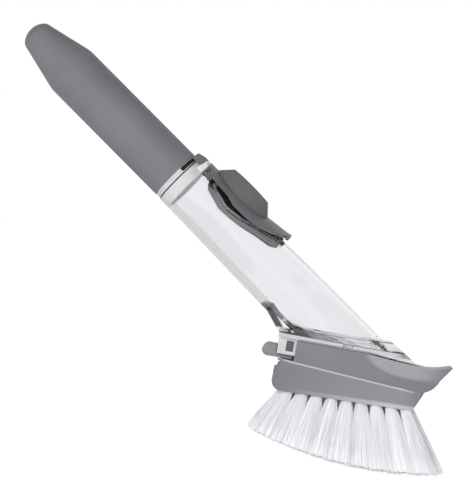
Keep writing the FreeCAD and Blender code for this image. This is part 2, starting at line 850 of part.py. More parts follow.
def make_lever():
    """Press lever: a saddle plate with a hinge neck and a flared tip."""
    body = new_body("press_lever", WAND)
    neck = f"{tube_radius('lever_start_at')} + lever_neck_gap"
    rear, flare, tip = lever_top("0")
    section = outline(
        body, "lever_shell", SIDE,
        (
            (neck, rear[1]), rear, flare, tip, (f"{tip[0]} - lever_thickness", tip[1]),
            (f"{flare[0]} - lever_thickness", flare[1]),
            ("lever_top_radius - lever_thickness", at("lever_neck_end_at + lever_thickness")),
            (neck, at("lever_neck_end_at")),
        ),
    )
    revolve(body, section)

    start, end = at("lever_neck_end_at"), at("lever_end_at")
    spots = edge_points(
        LEVER_EDGE_SHARES, start, end, "lever_low_side", "lever_rear_side", "lever_front_side",
    )
    deep = f"-2 * {LEVER_TIP_RADIUS}"
    behind = f"{at('lever_start_at')} - cut_overrun"
    below = outline(
        body, "lever_below", SIDE,
        (
            ("0", behind), ("0", start), ("lever_rear_side", start), spots[0], spots[1], spots[2],
            spots[3] + ("arc",), spots[4], ("lever_front_side", end),
            ("lever_front_side", f"{end} + cut_overrun"),
            (deep, f"{end} + cut_overrun"), (deep, behind),
        ),
    )
    pocket(body, below, CUT_WIDTH, symmetric=True)

    wide = f"2 * {LEVER_TIP_RADIUS}"
    sides = outline(
        body, "lever_neck_sides", SECTION,
        box_loop("lever_neck_half_width", wide, behind, start),
        box_loop(f"-{wide}", "-lever_neck_half_width", behind, start),
    )
    pocket(body, sides, wide, backward=True)
    nose = outline(
        body, "lever_nose", SECTION,
        (
            ("lever_half_width", at("lever_nose_at")), ("0", end, "arc"),
            ("-lever_half_width", at("lever_nose_at")),
            (f"-{wide}", at("lever_nose_at")), (f"-{wide}", f"{end} + cut_overrun"),
            (wide, f"{end} + cut_overrun"), (wide, at("lever_nose_at")),
        ),
    )
    pocket(body, nose, wide, backward=True)
    bore = new_sketch(body, "lever_bore", SIDE)
    draw_circle(bore, ("hinge_radius", at("hinge_at")), "pin_radius + running_gap / 2")
    pocket(body, bore, CUT_WIDTH, symmetric=True)
    return keep(body)


def make_thumb_pad():
    """Raised thumb pad seated on the lever."""
    body = new_body("thumb_pad", WAND)
    start, end = at("pad_start_at"), at("pad_end_at")
    low = "lever_low_side"
    side = outline(
        body, "pad_side", SIDE,
        (
            (low, start), ("lever_top_radius", start), (PAD_TOP_RADIUS, f"{start} + pad_slope_length"),
            (f"{PAD_TOP_RADIUS} + pad_crown", f"({start} + {end}) / 2", "arc"),
            (PAD_TOP_RADIUS, f"{end} - pad_slope_length"), ("lever_top_radius", end), (low, end),
        ),
    )
    pad(body, side, "2 * pad_half_width", symmetric=True)
    wide = "2 * pad_half_width"
    plan = (
        ("pad_rear_half_width", start), ("pad_half_width", f"({start} + {end}) / 2", "arc"),
        ("pad_front_half_width", end), ("-pad_front_half_width", end),
        ("-pad_half_width", f"({start} + {end}) / 2", "arc"), ("-pad_rear_half_width", start),
    )
    around = outline(
        body, "pad_around", SECTION,
        box_loop(f"-{wide}", wide, f"{start} - cut_overrun", f"{end} + cut_overrun"), plan,
    )
    pocket(body, around, f"{PAD_TOP_RADIUS} + pad_crown + cut_overrun", backward=True)
    rear, flare, tip = lever_top("press_gap")
    seat = outline(
        body, "pad_seat", SIDE, (("0", rear[1]), rear, flare, tip, ("0", tip[1])),
    )
    groove(body, seat)
    return keep(body)


def make_pin():
    """Hinge pin of the lever."""
    pin = doc.addObject("Part::Cylinder", "lever_pin")
    pin.Label = "lever_pin"
    bind(pin, "Radius", "pin_radius")
    bind(pin, "Height", f"2 * {PIN_REACH}")
    spot = FreeCAD.Vector(value("hinge_radius"), -value(PIN_REACH), value(at("hinge_at")))
    along = FreeCAD.Rotation(FreeCAD.Vector(0, 0, 1), FreeCAD.Vector(0, 1, 0))
    pin.Placement = WAND.multiply(FreeCAD.Placement(spot, along))
    return keep(pin)


def seam_line(x):
    """Height of the seam between carrier and block at a place along the head."""
    slope = "(seam_front_depth - seam_rear_depth) / (seam_front + block_rear)"
    return f"-seam_rear_depth - ({x} + block_rear) * {slope}"


def make_carrier():
    """Upper shell of the brush head: rails for the keel, a soap chamber and the scraper lip."""
    body = new_body("head_carrier", HEAD)
    floor = "-seam_front_depth - cut_overrun"
    rear_end = f"(-{CARRIER_REAR} - cut_overrun)"
    bow_along, bow_across = CARRIER_BOW_SHARES
    dip_along, dip_down = DIP_CURVE_SHARES
    lip_along, lip_up = SCRAPER_CURVE_SHARES
    belly_along, belly_up = BELLY_CURVE_SHARES
    half = (
        (f"-{CARRIER_REAR}", "head_half_width"), ("scraper_root", "head_half_width"),
        (between("scraper_root", "scraper_reach", bow_along),
         between("head_half_width", "scraper_half_width", bow_across), "arc"),
        ("scraper_reach", "scraper_half_width"),
    )
    plan = outline(body, "carrier_plan", moved(z=floor), mirrored_loop(half))
    pad(body, plan, f"cut_overrun + scraper_rise - ({floor})")
    high = "scraper_rise + 2 * cut_overrun"
    top = outline(
        body, "carrier_top", SIDE,
        (
            (rear_end, "0"), ("carrier_drop_start", "0"),
            (between("carrier_drop_start", "carrier_dip_front", dip_along), f"-carrier_dip * {dip_down}",
             "arc"),
            ("carrier_dip_front", "-carrier_dip"),
            (between("carrier_dip_front", "scraper_reach", lip_along),
             between("-carrier_dip", "scraper_rise", lip_up), "arc"),
            ("scraper_reach", "scraper_rise"),
            ("scraper_reach + cut_overrun", "scraper_rise"),
            ("scraper_reach + cut_overrun", high), (rear_end, high),
        ),
    )
    pocket(body, top, CUT_WIDTH, symmetric=True)
    deep = "-seam_front_depth - 2 * cut_overrun"
    under = outline(
        body, "carrier_under", SIDE,
        (
            (rear_end, seam_line(rear_end)), ("seam_front", seam_line("seam_front")),
            (between("seam_front", "scraper_belly_reach", belly_along),
             between("-seam_front_depth", "-scraper_belly", belly_up), "arc"),
            ("scraper_belly_reach", "-scraper_belly"),
            ("scraper_reach", "scraper_rise - running_gap"),
            ("scraper_reach + cut_overrun", "scraper_rise - running_gap"),
            ("scraper_reach + cut_overrun", deep), (rear_end, deep),
        ),
    )
    pocket(body, under, CUT_WIDTH, symmetric=True)

    half_slot = (
        ("cut_overrun", "keel_neck_half_width + rail_gap"),
        (f"-{LIP_DEPTH}", "keel_neck_half_width + rail_gap"),
        (f"-{LIP_DEPTH}", "keel_half_width + running_gap"),
        (f"-{CHANNEL_DEPTH}", "keel_half_width + running_gap"),
    )
    section = tuple((across, height) for height, across in mirrored_loop(half_slot))
    channel = outline(body, "carrier_channel", moved(x=rear_end).multiply(SECTION), section)
    pocket(body, channel, f"{CHANNEL_FRONT} - {rear_end}", backward=True)
    nose = outline(
        body, "carrier_nose_slot", moved(z="-nose_dip - nose_slot_gap"),
        box_loop(
            f"{CHANNEL_FRONT} - cut_overrun", "nose_tip + nose_slot_gap",
            "-boat_nose_half_width - nose_slot_gap", "boat_nose_half_width + nose_slot_gap",
        ),
    )
    pocket(body, nose, "nose_dip + nose_slot_gap + cut_overrun", backward=True)

    chamber = outline(
        body, "carrier_chamber", moved(z=f"-{CHANNEL_DEPTH} - deck_thickness"),
        box_loop("-chamber_rear", "chamber_front", "-chamber_half_width", "chamber_half_width"),
    )
    pocket(body, chamber, "seam_front_depth")
    slot_half = "tongue_half_width + tongue_slot_gap"
    slot = outline(
        body, "carrier_tongue_slot", moved(z=f"-{LIP_DEPTH}"),
        box_loop(
            rear_end, "-tongue_hinge + tongue_thickness / 2 + running_gap", f"-({slot_half})", slot_half,
        ),
    )
    pocket(body, slot, "seam_front_depth")
    port = new_sketch(body, "carrier_soap_port", moved(z=f"-{LIP_DEPTH}"))
    draw_circle(port, ("0", "0"), "soap_port_radius")
    pocket(body, port, "seam_front_depth")
    return keep(body)


def make_tongue():
    """Springy release tongue: its raised tab stands behind the feet of the base."""
    body = new_body("release_tongue", HEAD)
    low = "-tongue_depth - tongue_thickness"
    catch = "-foot_rear - running_gap"
    tab_middle = f"(-tab_top_depth + {low}) / 2"
    side = outline(
        body, "tongue_side", SIDE,
        (
            ("-tongue_hinge", "-tongue_depth"), (catch, "-tongue_depth"), (catch, "-tab_top_depth"),
            (f"{catch} - tab_round", "-tab_top_depth"), ("-tab_reach", tab_middle, "arc"),
            (f"{catch} - tab_round", low),
            ("-tongue_hinge", low),
            ("-tongue_hinge + tongue_thickness / 2", f"{low} + tongue_thickness / 2", "arc"),
        ),
    )
    pad(body, side, "2 * tab_half_width", symmetric=True)
    wide = "2 * tab_half_width"
    sides = outline(
        body, "tongue_sides", IDENTITY,
        box_loop("-tab_wide_front", "cut_overrun", "tongue_half_width", wide),
        box_loop("-tab_wide_front", "cut_overrun", f"-{wide}", "-tongue_half_width"),
    )
    pocket(body, sides, "2 * tongue_depth")
    return keep(body)


def make_block():
    """Brush block with its tuft holes and soap holes."""
    body = new_body("brush_block_blank", HEAD)
    deep = "-block_rear_depth - cut_overrun"
    bow_start = "block_front - block_bow"
    bow_along, bow_across = BLOCK_BOW_SHARES
    half = (
        ("-block_rear", "head_half_width - block_corner"),
        (f"-block_rear + block_corner * {ARC_MIDDLE_SHARE}",
         f"head_half_width - block_corner * {ARC_MIDDLE_SHARE}", "arc"),
        ("-block_rear + block_corner", "head_half_width"), (bow_start, "head_half_width"),
        (between(bow_start, "block_front", bow_along),
         between("head_half_width", "block_nose_half_width", bow_across), "arc"),
        ("block_front", "block_nose_half_width"),
    )
    plan = outline(body, "block_plan", moved(z=deep), mirrored_loop(half))
    pad(body, plan, f"-({deep}) - seam_rear_depth + cut_overrun")
    rear_end, front_end = "(-block_rear - cut_overrun)", "(block_front + cut_overrun)"
    top = outline(
        body, "block_top", SIDE,
        (
            (rear_end, seam_line(rear_end)), (front_end, seam_line(front_end)), (front_end, "0"),
            (rear_end, "0"),
        ),
    )
    pocket(body, top, CUT_WIDTH, symmetric=True)
    lowest = f"{deep} - cut_overrun"
    under = outline(
        body, "block_under", SIDE,
        (
            (rear_end, "-block_rear_depth + block_heel_round"),
            ("-block_rear", "-block_rear_depth + block_heel_round"),
            (f"-block_rear + block_heel_round * {ARC_MIDDLE_SHARE}",
             f"-block_rear_depth + block_heel_round * {ARC_MIDDLE_SHARE}", "arc"),
            ("-block_rear + block_heel_round", "-block_rear_depth"),
            ("block_front_low", "-block_front_depth"), ("block_front", seam_line("block_front")),
            (front_end, seam_line("block_front")), (front_end, lowest), (rear_end, lowest),
        ),
    )
    pocket(body, under, CUT_WIDTH, symmetric=True)
    flex_front = "-tongue_hinge + tongue_thickness / 2 + 2 * running_gap"
    flex_half = "tab_half_width + 2 * running_gap"
    flex = outline(
        body, "block_flex_pocket", moved(z="-seam_rear_depth - block_pocket_depth"),
        box_loop(rear_end, flex_front, f"-({flex_half})", flex_half),
    )
    pocket(body, flex, "block_pocket_depth + cut_overrun", backward=True)
    notch_top = "-seam_rear_depth - notch_drop"
    notch = outline(
        body, "block_notch", SIDE,
        box_loop(rear_end, "-block_rear + notch_length", f"{notch_top} - notch_height", notch_top),
    )
    pocket(body, notch, CUT_WIDTH, symmetric=True)
    soap = new_sketch(body, "block_soap_holes", IDENTITY)
    for place in SOAP_HOLE_PLACES:
        along = between("outer_row_rear", "outer_row_front", f"{place} / {OUTER_TUFTS - 1}")
        draw_circle(soap, (along, "0"), "soap_hole_radius")
    pocket(body, soap, "2 * block_rear_depth")

    holes = doc.addObject("Part::Compound", "tuft_holes")
    holes.Links = [tuft_hole(order, spot) for order, spot in enumerate(tuft_spots())]
    block = doc.addObject("Part::Cut", "brush_block")
    block.Label = "brush_block"
    block.Base = body
    block.Tool = holes
    doc.recompute()
    return keep(block)


def face_line(x):
    """Height of the block's tufted face at a place along the head."""
    rear = "(-block_rear + block_heel_round)"
    slope = f"(block_rear_depth - block_front_depth) / (block_front_low - {rear})"
    return f"-block_rear_depth + ({x} - {rear}) * {slope}"


def tuft_spots():
    """Every tuft: its row, its place, its share along the head and the way that it points."""
    middle = TUFT_ROWS // 2
    for row in range(TUFT_ROWS):
        inner = (row - middle) % 2 == 1
        count = INNER_TUFTS if inner else OUTER_TUFTS
        ends = ("inner_row_rear", "inner_row_front") if inner else ("outer_row_rear", "outer_row_front")
        for place in range(count):
            if row == middle and place in SOAP_HOLE_PLACES:
                continue
            x = value(between(*ends, f"{place} / {count - 1}"))
            share = (x - value("inner_row_rear")) / value("inner_row_front - inner_row_rear")
            lean = math.radians(value(between("tuft_rear_lean", "tuft_front_lean", share)))
            splay = math.radians(value("tuft_splay") * (row - middle) / middle)
            way = FreeCAD.Vector(math.tan(lean), math.tan(splay), -1).normalize()
            root = FreeCAD.Vector(x, value("row_pitch") * (row - middle), value(face_line(repr(x))))
            yield row, root, share, way


def along_tuft(root, way, depth):
    """A placement on a tuft's own line, a depth inside the block, pointing out of it."""
    turn = FreeCAD.Rotation(FreeCAD.Vector(0, 0, 1), way)
    return HEAD.multiply(FreeCAD.Placement(root - way * depth, turn))


def tuft_hole(order, spot):
    """One hole for a tuft."""
    _, root, _, way = spot
    hole = doc.addObject("Part::Cylinder", f"tuft_hole_{order}")
    bind(hole, "Radius", "tuft_hole_radius")
    bind(hole, "Height", "tuft_hole_depth + cut_overrun")
    hole.Placement = along_tuft(root, way, value("tuft_hole_depth"))
    return hole


def make_tufts():
    """Rows of nylon tufts, each a bundle that fans out from its hole."""
    rows = [[] for _ in range(TUFT_ROWS)]
    for order, (row, root, share, way) in enumerate(tuft_spots()):
        tuft = doc.addObject("Part::Cone", f"tuft_{order}")
        bind(tuft, "Radius1", "tuft_root_radius")
        bind(tuft, "Radius2", "tuft_tip_radius")
        length = between("tuft_rear_length", "tuft_front_length", share)
        bind(tuft, "Height", f"tuft_root_depth + {length} + tuft_crown * {4 * share * (1 - share)}")
        tuft.Placement = along_tuft(root, way, value("tuft_root_depth"))
        rows[row].append(tuft)
    for row, tufts in enumerate(rows, start=1):
        group = doc.addObject("Part::Compound", f"tuft_row_{row}")
        group.Label = f"tuft_row_{row}"
        group.Links = tufts
        keep(group)


def make_anchors():
    """Flat wire anchors at the bottom of the tuft holes."""
    anchors = []
    for order, (_, root, _, way) in enumerate(tuft_spots()):
        anchor = doc.addObject("Part::Box", f"anchor_{order}")
        bind(anchor, "Length", "anchor_length")
        bind(anchor, "Width", "anchor_width")
        bind(anchor, "Height", "anchor_height")
        corner = moved("-anchor_length / 2", "-anchor_width / 2", "0")
        depth = value("tuft_root_depth + press_gap + anchor_height")
        anchor.Placement = along_tuft(root, way, depth).multiply(corner)
        anchors.append(anchor)
    group = doc.addObject("Part::Compound", "tuft_anchors")
    group.Label = "tuft_anchors"
    group.Links = anchors
    keep(group)


def check_objects():
    """Stops the build if any object failed, or if a piece is empty or not sound."""
    doc.recompute()
    failed = [thing.Name for thing in doc.Objects if {"Invalid", "Error"} & set(thing.State)]
    if failed:
        raise RuntimeError(f"failed objects: {failed}")
    for node in nodes:
        if node.Shape.isNull() or not node.Shape.isValid() or not node.Shape.Solids:
            raise RuntimeError(f"{node.Label} is not a sound solid")


def write_pieces():
    """Writes each piece to a file of its own name."""
    os.makedirs("parts", exist_ok=True)
    for node in nodes:
        node.Shape.exportStep(os.path.join("parts", f"{node.Label}.step"))
        print(f"{node.Label}: {len(node.Shape.Solids)} solids, {node.Shape.Volume:.1f} mm3")


make_handle()
make_collar()
make_seal()
make_tube()
make_base()
make_valve()
make_valve_ring()
make_frame()
make_diaphragm()
make_lever()
make_thumb_pad()
make_pin()
make_carrier()
make_tongue()
make_block()
make_tufts()
make_anchors()
check_objects()
write_pieces()
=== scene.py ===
"""Dish wand with a clear soap tube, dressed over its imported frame."""

from __future__ import annotations
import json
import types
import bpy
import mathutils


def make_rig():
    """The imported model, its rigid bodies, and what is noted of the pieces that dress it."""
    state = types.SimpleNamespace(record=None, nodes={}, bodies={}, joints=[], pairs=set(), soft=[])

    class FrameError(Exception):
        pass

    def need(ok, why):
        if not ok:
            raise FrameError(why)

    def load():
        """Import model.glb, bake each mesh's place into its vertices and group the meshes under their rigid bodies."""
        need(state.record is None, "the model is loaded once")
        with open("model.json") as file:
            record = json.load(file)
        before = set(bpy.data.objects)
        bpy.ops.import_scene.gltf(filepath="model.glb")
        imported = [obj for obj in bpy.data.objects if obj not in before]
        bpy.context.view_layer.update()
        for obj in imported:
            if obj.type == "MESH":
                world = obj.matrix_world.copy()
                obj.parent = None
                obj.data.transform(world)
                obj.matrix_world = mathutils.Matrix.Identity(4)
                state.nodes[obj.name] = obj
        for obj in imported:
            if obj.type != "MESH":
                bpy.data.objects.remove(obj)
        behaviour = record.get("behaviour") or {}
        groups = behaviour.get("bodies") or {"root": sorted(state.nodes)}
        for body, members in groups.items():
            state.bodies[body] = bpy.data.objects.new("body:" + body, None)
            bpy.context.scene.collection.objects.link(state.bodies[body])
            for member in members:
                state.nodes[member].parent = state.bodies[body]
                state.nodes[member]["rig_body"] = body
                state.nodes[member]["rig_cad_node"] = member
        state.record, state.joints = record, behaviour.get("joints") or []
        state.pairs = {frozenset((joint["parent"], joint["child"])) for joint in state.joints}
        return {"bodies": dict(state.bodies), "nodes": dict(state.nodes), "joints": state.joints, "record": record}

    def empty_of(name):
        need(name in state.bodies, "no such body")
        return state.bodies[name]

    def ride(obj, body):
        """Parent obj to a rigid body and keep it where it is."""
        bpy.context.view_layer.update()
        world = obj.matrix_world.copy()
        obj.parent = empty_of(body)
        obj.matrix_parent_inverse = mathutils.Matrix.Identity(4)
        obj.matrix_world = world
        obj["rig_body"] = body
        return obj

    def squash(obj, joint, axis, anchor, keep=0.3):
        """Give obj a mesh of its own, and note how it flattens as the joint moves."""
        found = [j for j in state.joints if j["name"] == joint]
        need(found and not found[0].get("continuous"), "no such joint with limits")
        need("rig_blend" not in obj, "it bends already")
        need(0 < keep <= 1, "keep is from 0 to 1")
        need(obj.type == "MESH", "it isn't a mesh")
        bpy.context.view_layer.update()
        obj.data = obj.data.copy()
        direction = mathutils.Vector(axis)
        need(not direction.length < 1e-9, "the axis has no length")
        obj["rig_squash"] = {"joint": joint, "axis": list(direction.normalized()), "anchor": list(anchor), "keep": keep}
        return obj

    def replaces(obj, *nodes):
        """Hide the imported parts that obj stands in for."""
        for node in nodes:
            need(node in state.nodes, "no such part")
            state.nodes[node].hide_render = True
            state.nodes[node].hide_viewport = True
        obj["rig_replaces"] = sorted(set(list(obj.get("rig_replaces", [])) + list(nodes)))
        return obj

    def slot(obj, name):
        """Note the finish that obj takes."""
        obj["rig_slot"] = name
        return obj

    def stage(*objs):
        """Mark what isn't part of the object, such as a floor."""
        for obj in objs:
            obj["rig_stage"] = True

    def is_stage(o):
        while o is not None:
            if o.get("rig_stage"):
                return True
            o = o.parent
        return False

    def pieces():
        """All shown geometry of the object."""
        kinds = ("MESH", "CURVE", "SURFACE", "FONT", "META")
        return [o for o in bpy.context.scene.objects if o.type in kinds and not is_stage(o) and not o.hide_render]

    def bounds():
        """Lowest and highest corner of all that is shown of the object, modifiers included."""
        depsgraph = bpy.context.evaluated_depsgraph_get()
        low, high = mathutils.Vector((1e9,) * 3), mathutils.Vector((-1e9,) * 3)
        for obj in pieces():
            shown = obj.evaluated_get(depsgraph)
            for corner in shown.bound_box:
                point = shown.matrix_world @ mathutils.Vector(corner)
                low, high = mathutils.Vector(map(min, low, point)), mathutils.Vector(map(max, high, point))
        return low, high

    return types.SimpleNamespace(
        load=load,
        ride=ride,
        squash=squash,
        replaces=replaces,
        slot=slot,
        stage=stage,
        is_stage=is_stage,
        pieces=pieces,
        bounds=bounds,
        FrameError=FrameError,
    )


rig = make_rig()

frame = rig.load()

import json
import logging
import math
import random
from abc import ABC, abstractmethod
from contextlib import contextmanager
from dataclasses import dataclass
from enum import Enum
from typing import Callable, ClassVar, Iterator, Sequence

import bpy
import numpy as np
from mathutils import Matrix, Vector

CAD_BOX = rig.bounds()
NODES: dict[str, bpy.types.Object] = frame["nodes"]
MM = 0.001
SIZE_FILE = "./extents.json"
LOG = logging.getLogger("dish_wand")
DOWN = Vector((0.0, 0.0, -1.0))
REAR = Vector((-1.0, 0.0, 0.0))

Colour = tuple[float, float, float, float]
Ring = tuple[float, float]
Plane = tuple[Vector, Vector]
Pair = tuple[float, float]
Piece = bpy.types.Object
Socket = bpy.types.NodeSocket


def shade(red: int, green: int, blue: int) -> Colour:
    """Turns a colour as it is seen on a screen into light values.

    Args:
        red: Red from 0 to 255.
        green: Green from 0 to 255.
        blue: Blue from 0 to 255.

    Returns:
        The colour as linear red, green, blue and full cover.
    """
    def linear(step: int) -> float:
        """One channel as light."""
        part = step / 255
        return part / 12.92 if part <= 0.04045 else ((part + 0.055) / 1.055) ** 2.4

    return linear(red), linear(green), linear(blue), 1.0


def toned(colour: Colour, factor: float) -> Colour:
    """A colour made lighter or darker by a factor."""
    return tuple(min(1.0, part * factor) for part in colour[:3]) + (1.0,)


def between(low: float, high: float, share: float) -> float:
    """The value that a share of the way from low to high gives."""
    return low + (high - low) * share


def share_of(value: float, start: float, end: float) -> float:
    """How far a value is on its way from start to end, from 0 to 1."""
    return min(1.0, max(0.0, (value - start) / (end - start)))


def eased(share: float) -> float:
    """A share that starts and ends softly."""
    return share * share * (3 - 2 * share)


def band(radii: Pair, reach: Pair) -> tuple[Ring, ...]:
    """The four rings of a flat band, from its radii and its two stations."""
    (low, high), (start, end) = radii, reach
    return (low, start), (high, start), (high, end), (low, end)


def linked(name: str, content: bpy.types.ID) -> Piece:
    """Adds an object to the scene.

    Args:
        name: Name of the object.
        content: Its mesh, light or camera.

    Returns:
        The object.
    """
    piece = bpy.data.objects.new(name, content)
    bpy.context.scene.collection.objects.link(piece)
    return piece


def facing(place: Vector, away: Vector) -> Matrix:
    """A place whose Z points a given way."""
    return Matrix.Translation(place) @ away.to_track_quat("Z", "Y").to_matrix().to_4x4()


class Body(Enum):
    """The rigid bodies that pieces ride on."""

    RESERVOIR = "reservoir"
    SEAL = "seal"
    HANDLE = "handle"
    LEVER = "lever"
    HEAD = "head"
    TONGUE = "tongue"


class Slot(Enum):
    """The material slots that new pieces take."""

    CLEAR = "clear_plastic"
    LEVER = "lever_plastic"
    HEAD = "head_plastic"
    RUBBER = "soft_rubber"
    NYLON = "nylon_bristle"


class Ray(Enum):
    """The kinds of light that a thing in the studio can be hidden from."""

    CAMERA = "visible_camera"
    DIFFUSE = "visible_diffuse"
    GLOSSY = "visible_glossy"
    TRANSMISSION = "visible_transmission"
    SHADOW = "visible_shadow"


@dataclass(frozen=True)
class WandLine:
    """The wand's slanted axis and the stations along it.

    Attributes:
        fall: Angle by which the axis falls towards the head.
        mouth: Distance from the middle of the grip to the handle's mouth.
        deck: Distance from the middle of the grip to the top of the brush head.
    """

    fall: float = math.radians(35.0)
    mouth: float = 39.0 * MM
    deck: float = 166.5 * MM

    @property
    def axis(self) -> Vector:
        """Direction from the handle to the head."""
        return Vector((math.cos(self.fall), 0.0, -math.sin(self.fall)))

    @property
    def lever_side(self) -> Vector:
        """Direction from the axis to the lever."""
        return Vector((math.sin(self.fall), 0.0, math.cos(self.fall)))

    def frame(self) -> Matrix:
        """The turn whose Z runs down the axis and whose X points at the lever."""
        across = self.axis.cross(self.lever_side)
        return Matrix((self.lever_side, across, self.axis)).transposed().to_4x4()

    def slanted(self, along: float, out: float) -> Vector:
        """A step along the axis and a step towards the lever's side."""
        return self.axis * along + self.lever_side * out

    def deck_point(self, along: float = 0.0, up: float = 0.0) -> Vector:
        """A point seen from where the axis meets the top of the brush head."""
        return self.axis * self.deck + Vector((along, 0.0, up))


WAND = WandLine()


class Bench:
    """Hand work on meshes: selecting, shaping in edit mode and applying modifiers.

    Attributes:
        MERGE: Corners closer than this are one corner.
        FLAT: Faces that meet at less than this angle in degrees are one face.
        CREASE: Edges sharper than this angle in degrees are rounded on a moulding.
        TURNED: Edges below this angle in degrees look smooth on a turned piece.
    """

    MERGE: ClassVar[float] = 0.002 * MM
    FLAT: ClassVar[float] = 0.8
    CREASE: ClassVar[float] = 28.0
    TURNED: ClassVar[float] = 40.0

    @staticmethod
    def clear() -> None:
        """Deselects everything."""
        bpy.ops.object.select_all(action="DESELECT")

    @staticmethod
    def take(piece: Piece) -> None:
        """Makes a piece the only one selected.

        Args:
            piece: The object to work on.
        """
        Bench.clear()
        piece.select_set(True)
        bpy.context.view_layer.objects.active = piece

    @staticmethod
    def named(name: str) -> Piece:
        """Names the primitive that was just added.

        Args:
            name: Name of the piece.

        Returns:
            The piece, with its place and size in its mesh.
        """
        piece = bpy.context.object
        piece.name = name
        Bench.apply()
        return piece

    @staticmethod
    def apply() -> None:
        """Leaves the selected piece's place in its mesh."""
        bpy.ops.object.transform_apply(location=True, rotation=True, scale=True)

    @staticmethod
    @contextmanager
    def editing(
        piece: Piece, faces: Sequence[bool] | None = None, whole: bool = False,
    ) -> Iterator[None]:
        """Edit mode on one piece.

        Args:
            piece: The object to edit.
            faces: Which faces are selected at the start, or None to work on corners.
            whole: Whether all corners are selected at the start.

        Yields:
            Nothing, while the piece is being edited.
        """
        Bench.take(piece)
        bpy.ops.object.mode_set(mode="EDIT")
        bpy.ops.mesh.select_mode(type="VERT" if faces is None else "FACE")
        bpy.ops.mesh.select_all(action="SELECT" if whole else "DESELECT")
        if faces is not None:
            bpy.ops.object.mode_set(mode="OBJECT")
            piece.data.polygons.foreach_set("select", faces)
            bpy.ops.object.mode_set(mode="EDIT")
        try:
            yield
        finally:
            bpy.ops.object.mode_set(mode="OBJECT")

    @staticmethod
    def settle(piece: Piece, place: Matrix) -> None:
        """Puts a piece in its place and leaves the place in its mesh.

        Args:
            piece: The object, made in its own frame.
            place: Where that frame belongs.
        """
        piece.matrix_world = place
        Bench.take(piece)
        Bench.apply()

    @staticmethod
    def modify(piece: Piece, kind: str, **settings: object) -> None:
        """Adds a modifier and applies it.

        Args:
            piece: The object to change.
            kind: The modifier's type.
            **settings: The modifier's own settings.
        """
        modifier = piece.modifiers.new(kind.title(), kind)
        for name, setting in settings.items():
            setattr(modifier, name, setting)
        Bench.take(piece)
        bpy.ops.object.modifier_apply(modifier=modifier.name)

    @staticmethod
    def smooth(piece: Piece, angle: float) -> None:
        """Shades a piece smooth where its faces meet at less than an angle.

        Args:
            piece: The object to shade.
            angle: The limit in degrees.
        """
        Bench.take(piece)
        bpy.ops.object.shade_smooth_by_angle(angle=math.radians(angle))

    @staticmethod
    def close_ends(piece: Piece) -> None:
        """Closes the open ends of a piece with a face each.

        Args:
            piece: The piece.
        """
        with Bench.editing(piece):
            bpy.ops.mesh.select_non_manifold()
            bpy.ops.mesh.edge_face_add()

    @staticmethod
    def drop_faces(piece: Piece, faces: Sequence[bool]) -> None:
        """Deletes the chosen faces of a piece."""
        with Bench.editing(piece, faces):
            bpy.ops.mesh.delete(type="FACE")

    @staticmethod
    def trim(
        piece: Piece, point: Sequence[float], beyond: Sequence[float], fill: bool = False,
    ) -> None:
        """Cuts off what lies beyond a plane.

        Args:
            piece: The piece to cut.
            point: A point on the plane.
            beyond: The way to the side that is cut off.
            fill: Whether the cut gets a face.
        """
        with Bench.editing(piece, whole=True):
            bpy.ops.mesh.bisect(plane_co=point, plane_no=beyond, use_fill=fill, clear_outer=True)

    @staticmethod
    def lathe(name: str, rings: Sequence[Ring], sides: int, closed: bool = False) -> Piece:
        """Extrudes a circle from ring to ring along Z.

        Args:
            name: Name of the piece.
            rings: Radius and height of each ring.
            sides: Number of corners in a ring.
            closed: Whether the last ring is bridged to the first.

        Returns:
            The turned piece, unplaced.
        """
        Bench.clear()
        radius, height = rings[0]
        bpy.ops.mesh.primitive_circle_add(vertices=sides, radius=radius, location=(0, 0, height))
        piece = Bench.named(name)
        with Bench.editing(piece, whole=True):
            for next_radius, next_height in rings[1:]:
                step = (0, 0, next_height - height)
                bpy.ops.mesh.extrude_region_move(TRANSFORM_OT_translate={"value": step})
                grow = next_radius / radius
                bpy.ops.transform.resize(value=(grow, grow, 1), center_override=(0, 0, next_height))
                radius, height = next_radius, next_height
            if closed:
                bpy.ops.mesh.select_all(action="DESELECT")
                bpy.ops.mesh.select_non_manifold()
                bpy.ops.mesh.bridge_edge_loops()
            bpy.ops.mesh.select_all(action="SELECT")
            bpy.ops.mesh.normals_make_consistent(inside=False)
        return piece

    @staticmethod
    def wedge(piece: Piece, first: float, last: float) -> None:
        """Keeps only a slice of a turned ring.

        Args:
            piece: The ring, unplaced.
            first: Angle in degrees where the slice starts.
            last: Angle in degrees where it ends, less than half a turn on.
        """
        for turn, way in ((first, -1.0), (last, 1.0)):
            angle = math.radians(turn)
            beyond = (-way * math.sin(angle), way * math.cos(angle), 0)
            Bench.trim(piece, (0, 0, 0), beyond, fill=True)

    @staticmethod
    def moulding(node: str, name: str) -> Piece:
        """A merged copy of a node's mesh, with its flat faces joined up.

        Args:
            node: The node to copy.
            name: Name of the new piece.

        Returns:
            The new piece.
        """
        piece = linked(name, NODES[node].data.copy())
        Bench.take(piece)
        bpy.ops.mesh.customdata_custom_splitnormals_clear()
        with Bench.editing(piece, whole=True):
            bpy.ops.mesh.remove_doubles(threshold=Bench.MERGE)
            bpy.ops.mesh.mark_sharp(clear=True)
            bpy.ops.mesh.dissolve_limited(angle_limit=math.radians(Bench.FLAT))
        return piece

    @staticmethod
    def soften(piece: Piece, width: float, steps: int = 3, crease: float = CREASE) -> None:
        """Rounds the sharp edges of a moulding.

        Args:
            piece: The moulding.
            width: Width of the rounding.
            steps: Faces across the rounding.
            crease: Edges sharper than this angle in degrees are rounded.
        """
        Bench.modify(
            piece, "BEVEL", width=width, segments=steps, limit_method="ANGLE",
            angle_limit=math.radians(crease), use_clamp_overlap=True, miter_outer="MITER_ARC",
        )
        Bench.smooth(piece, crease)


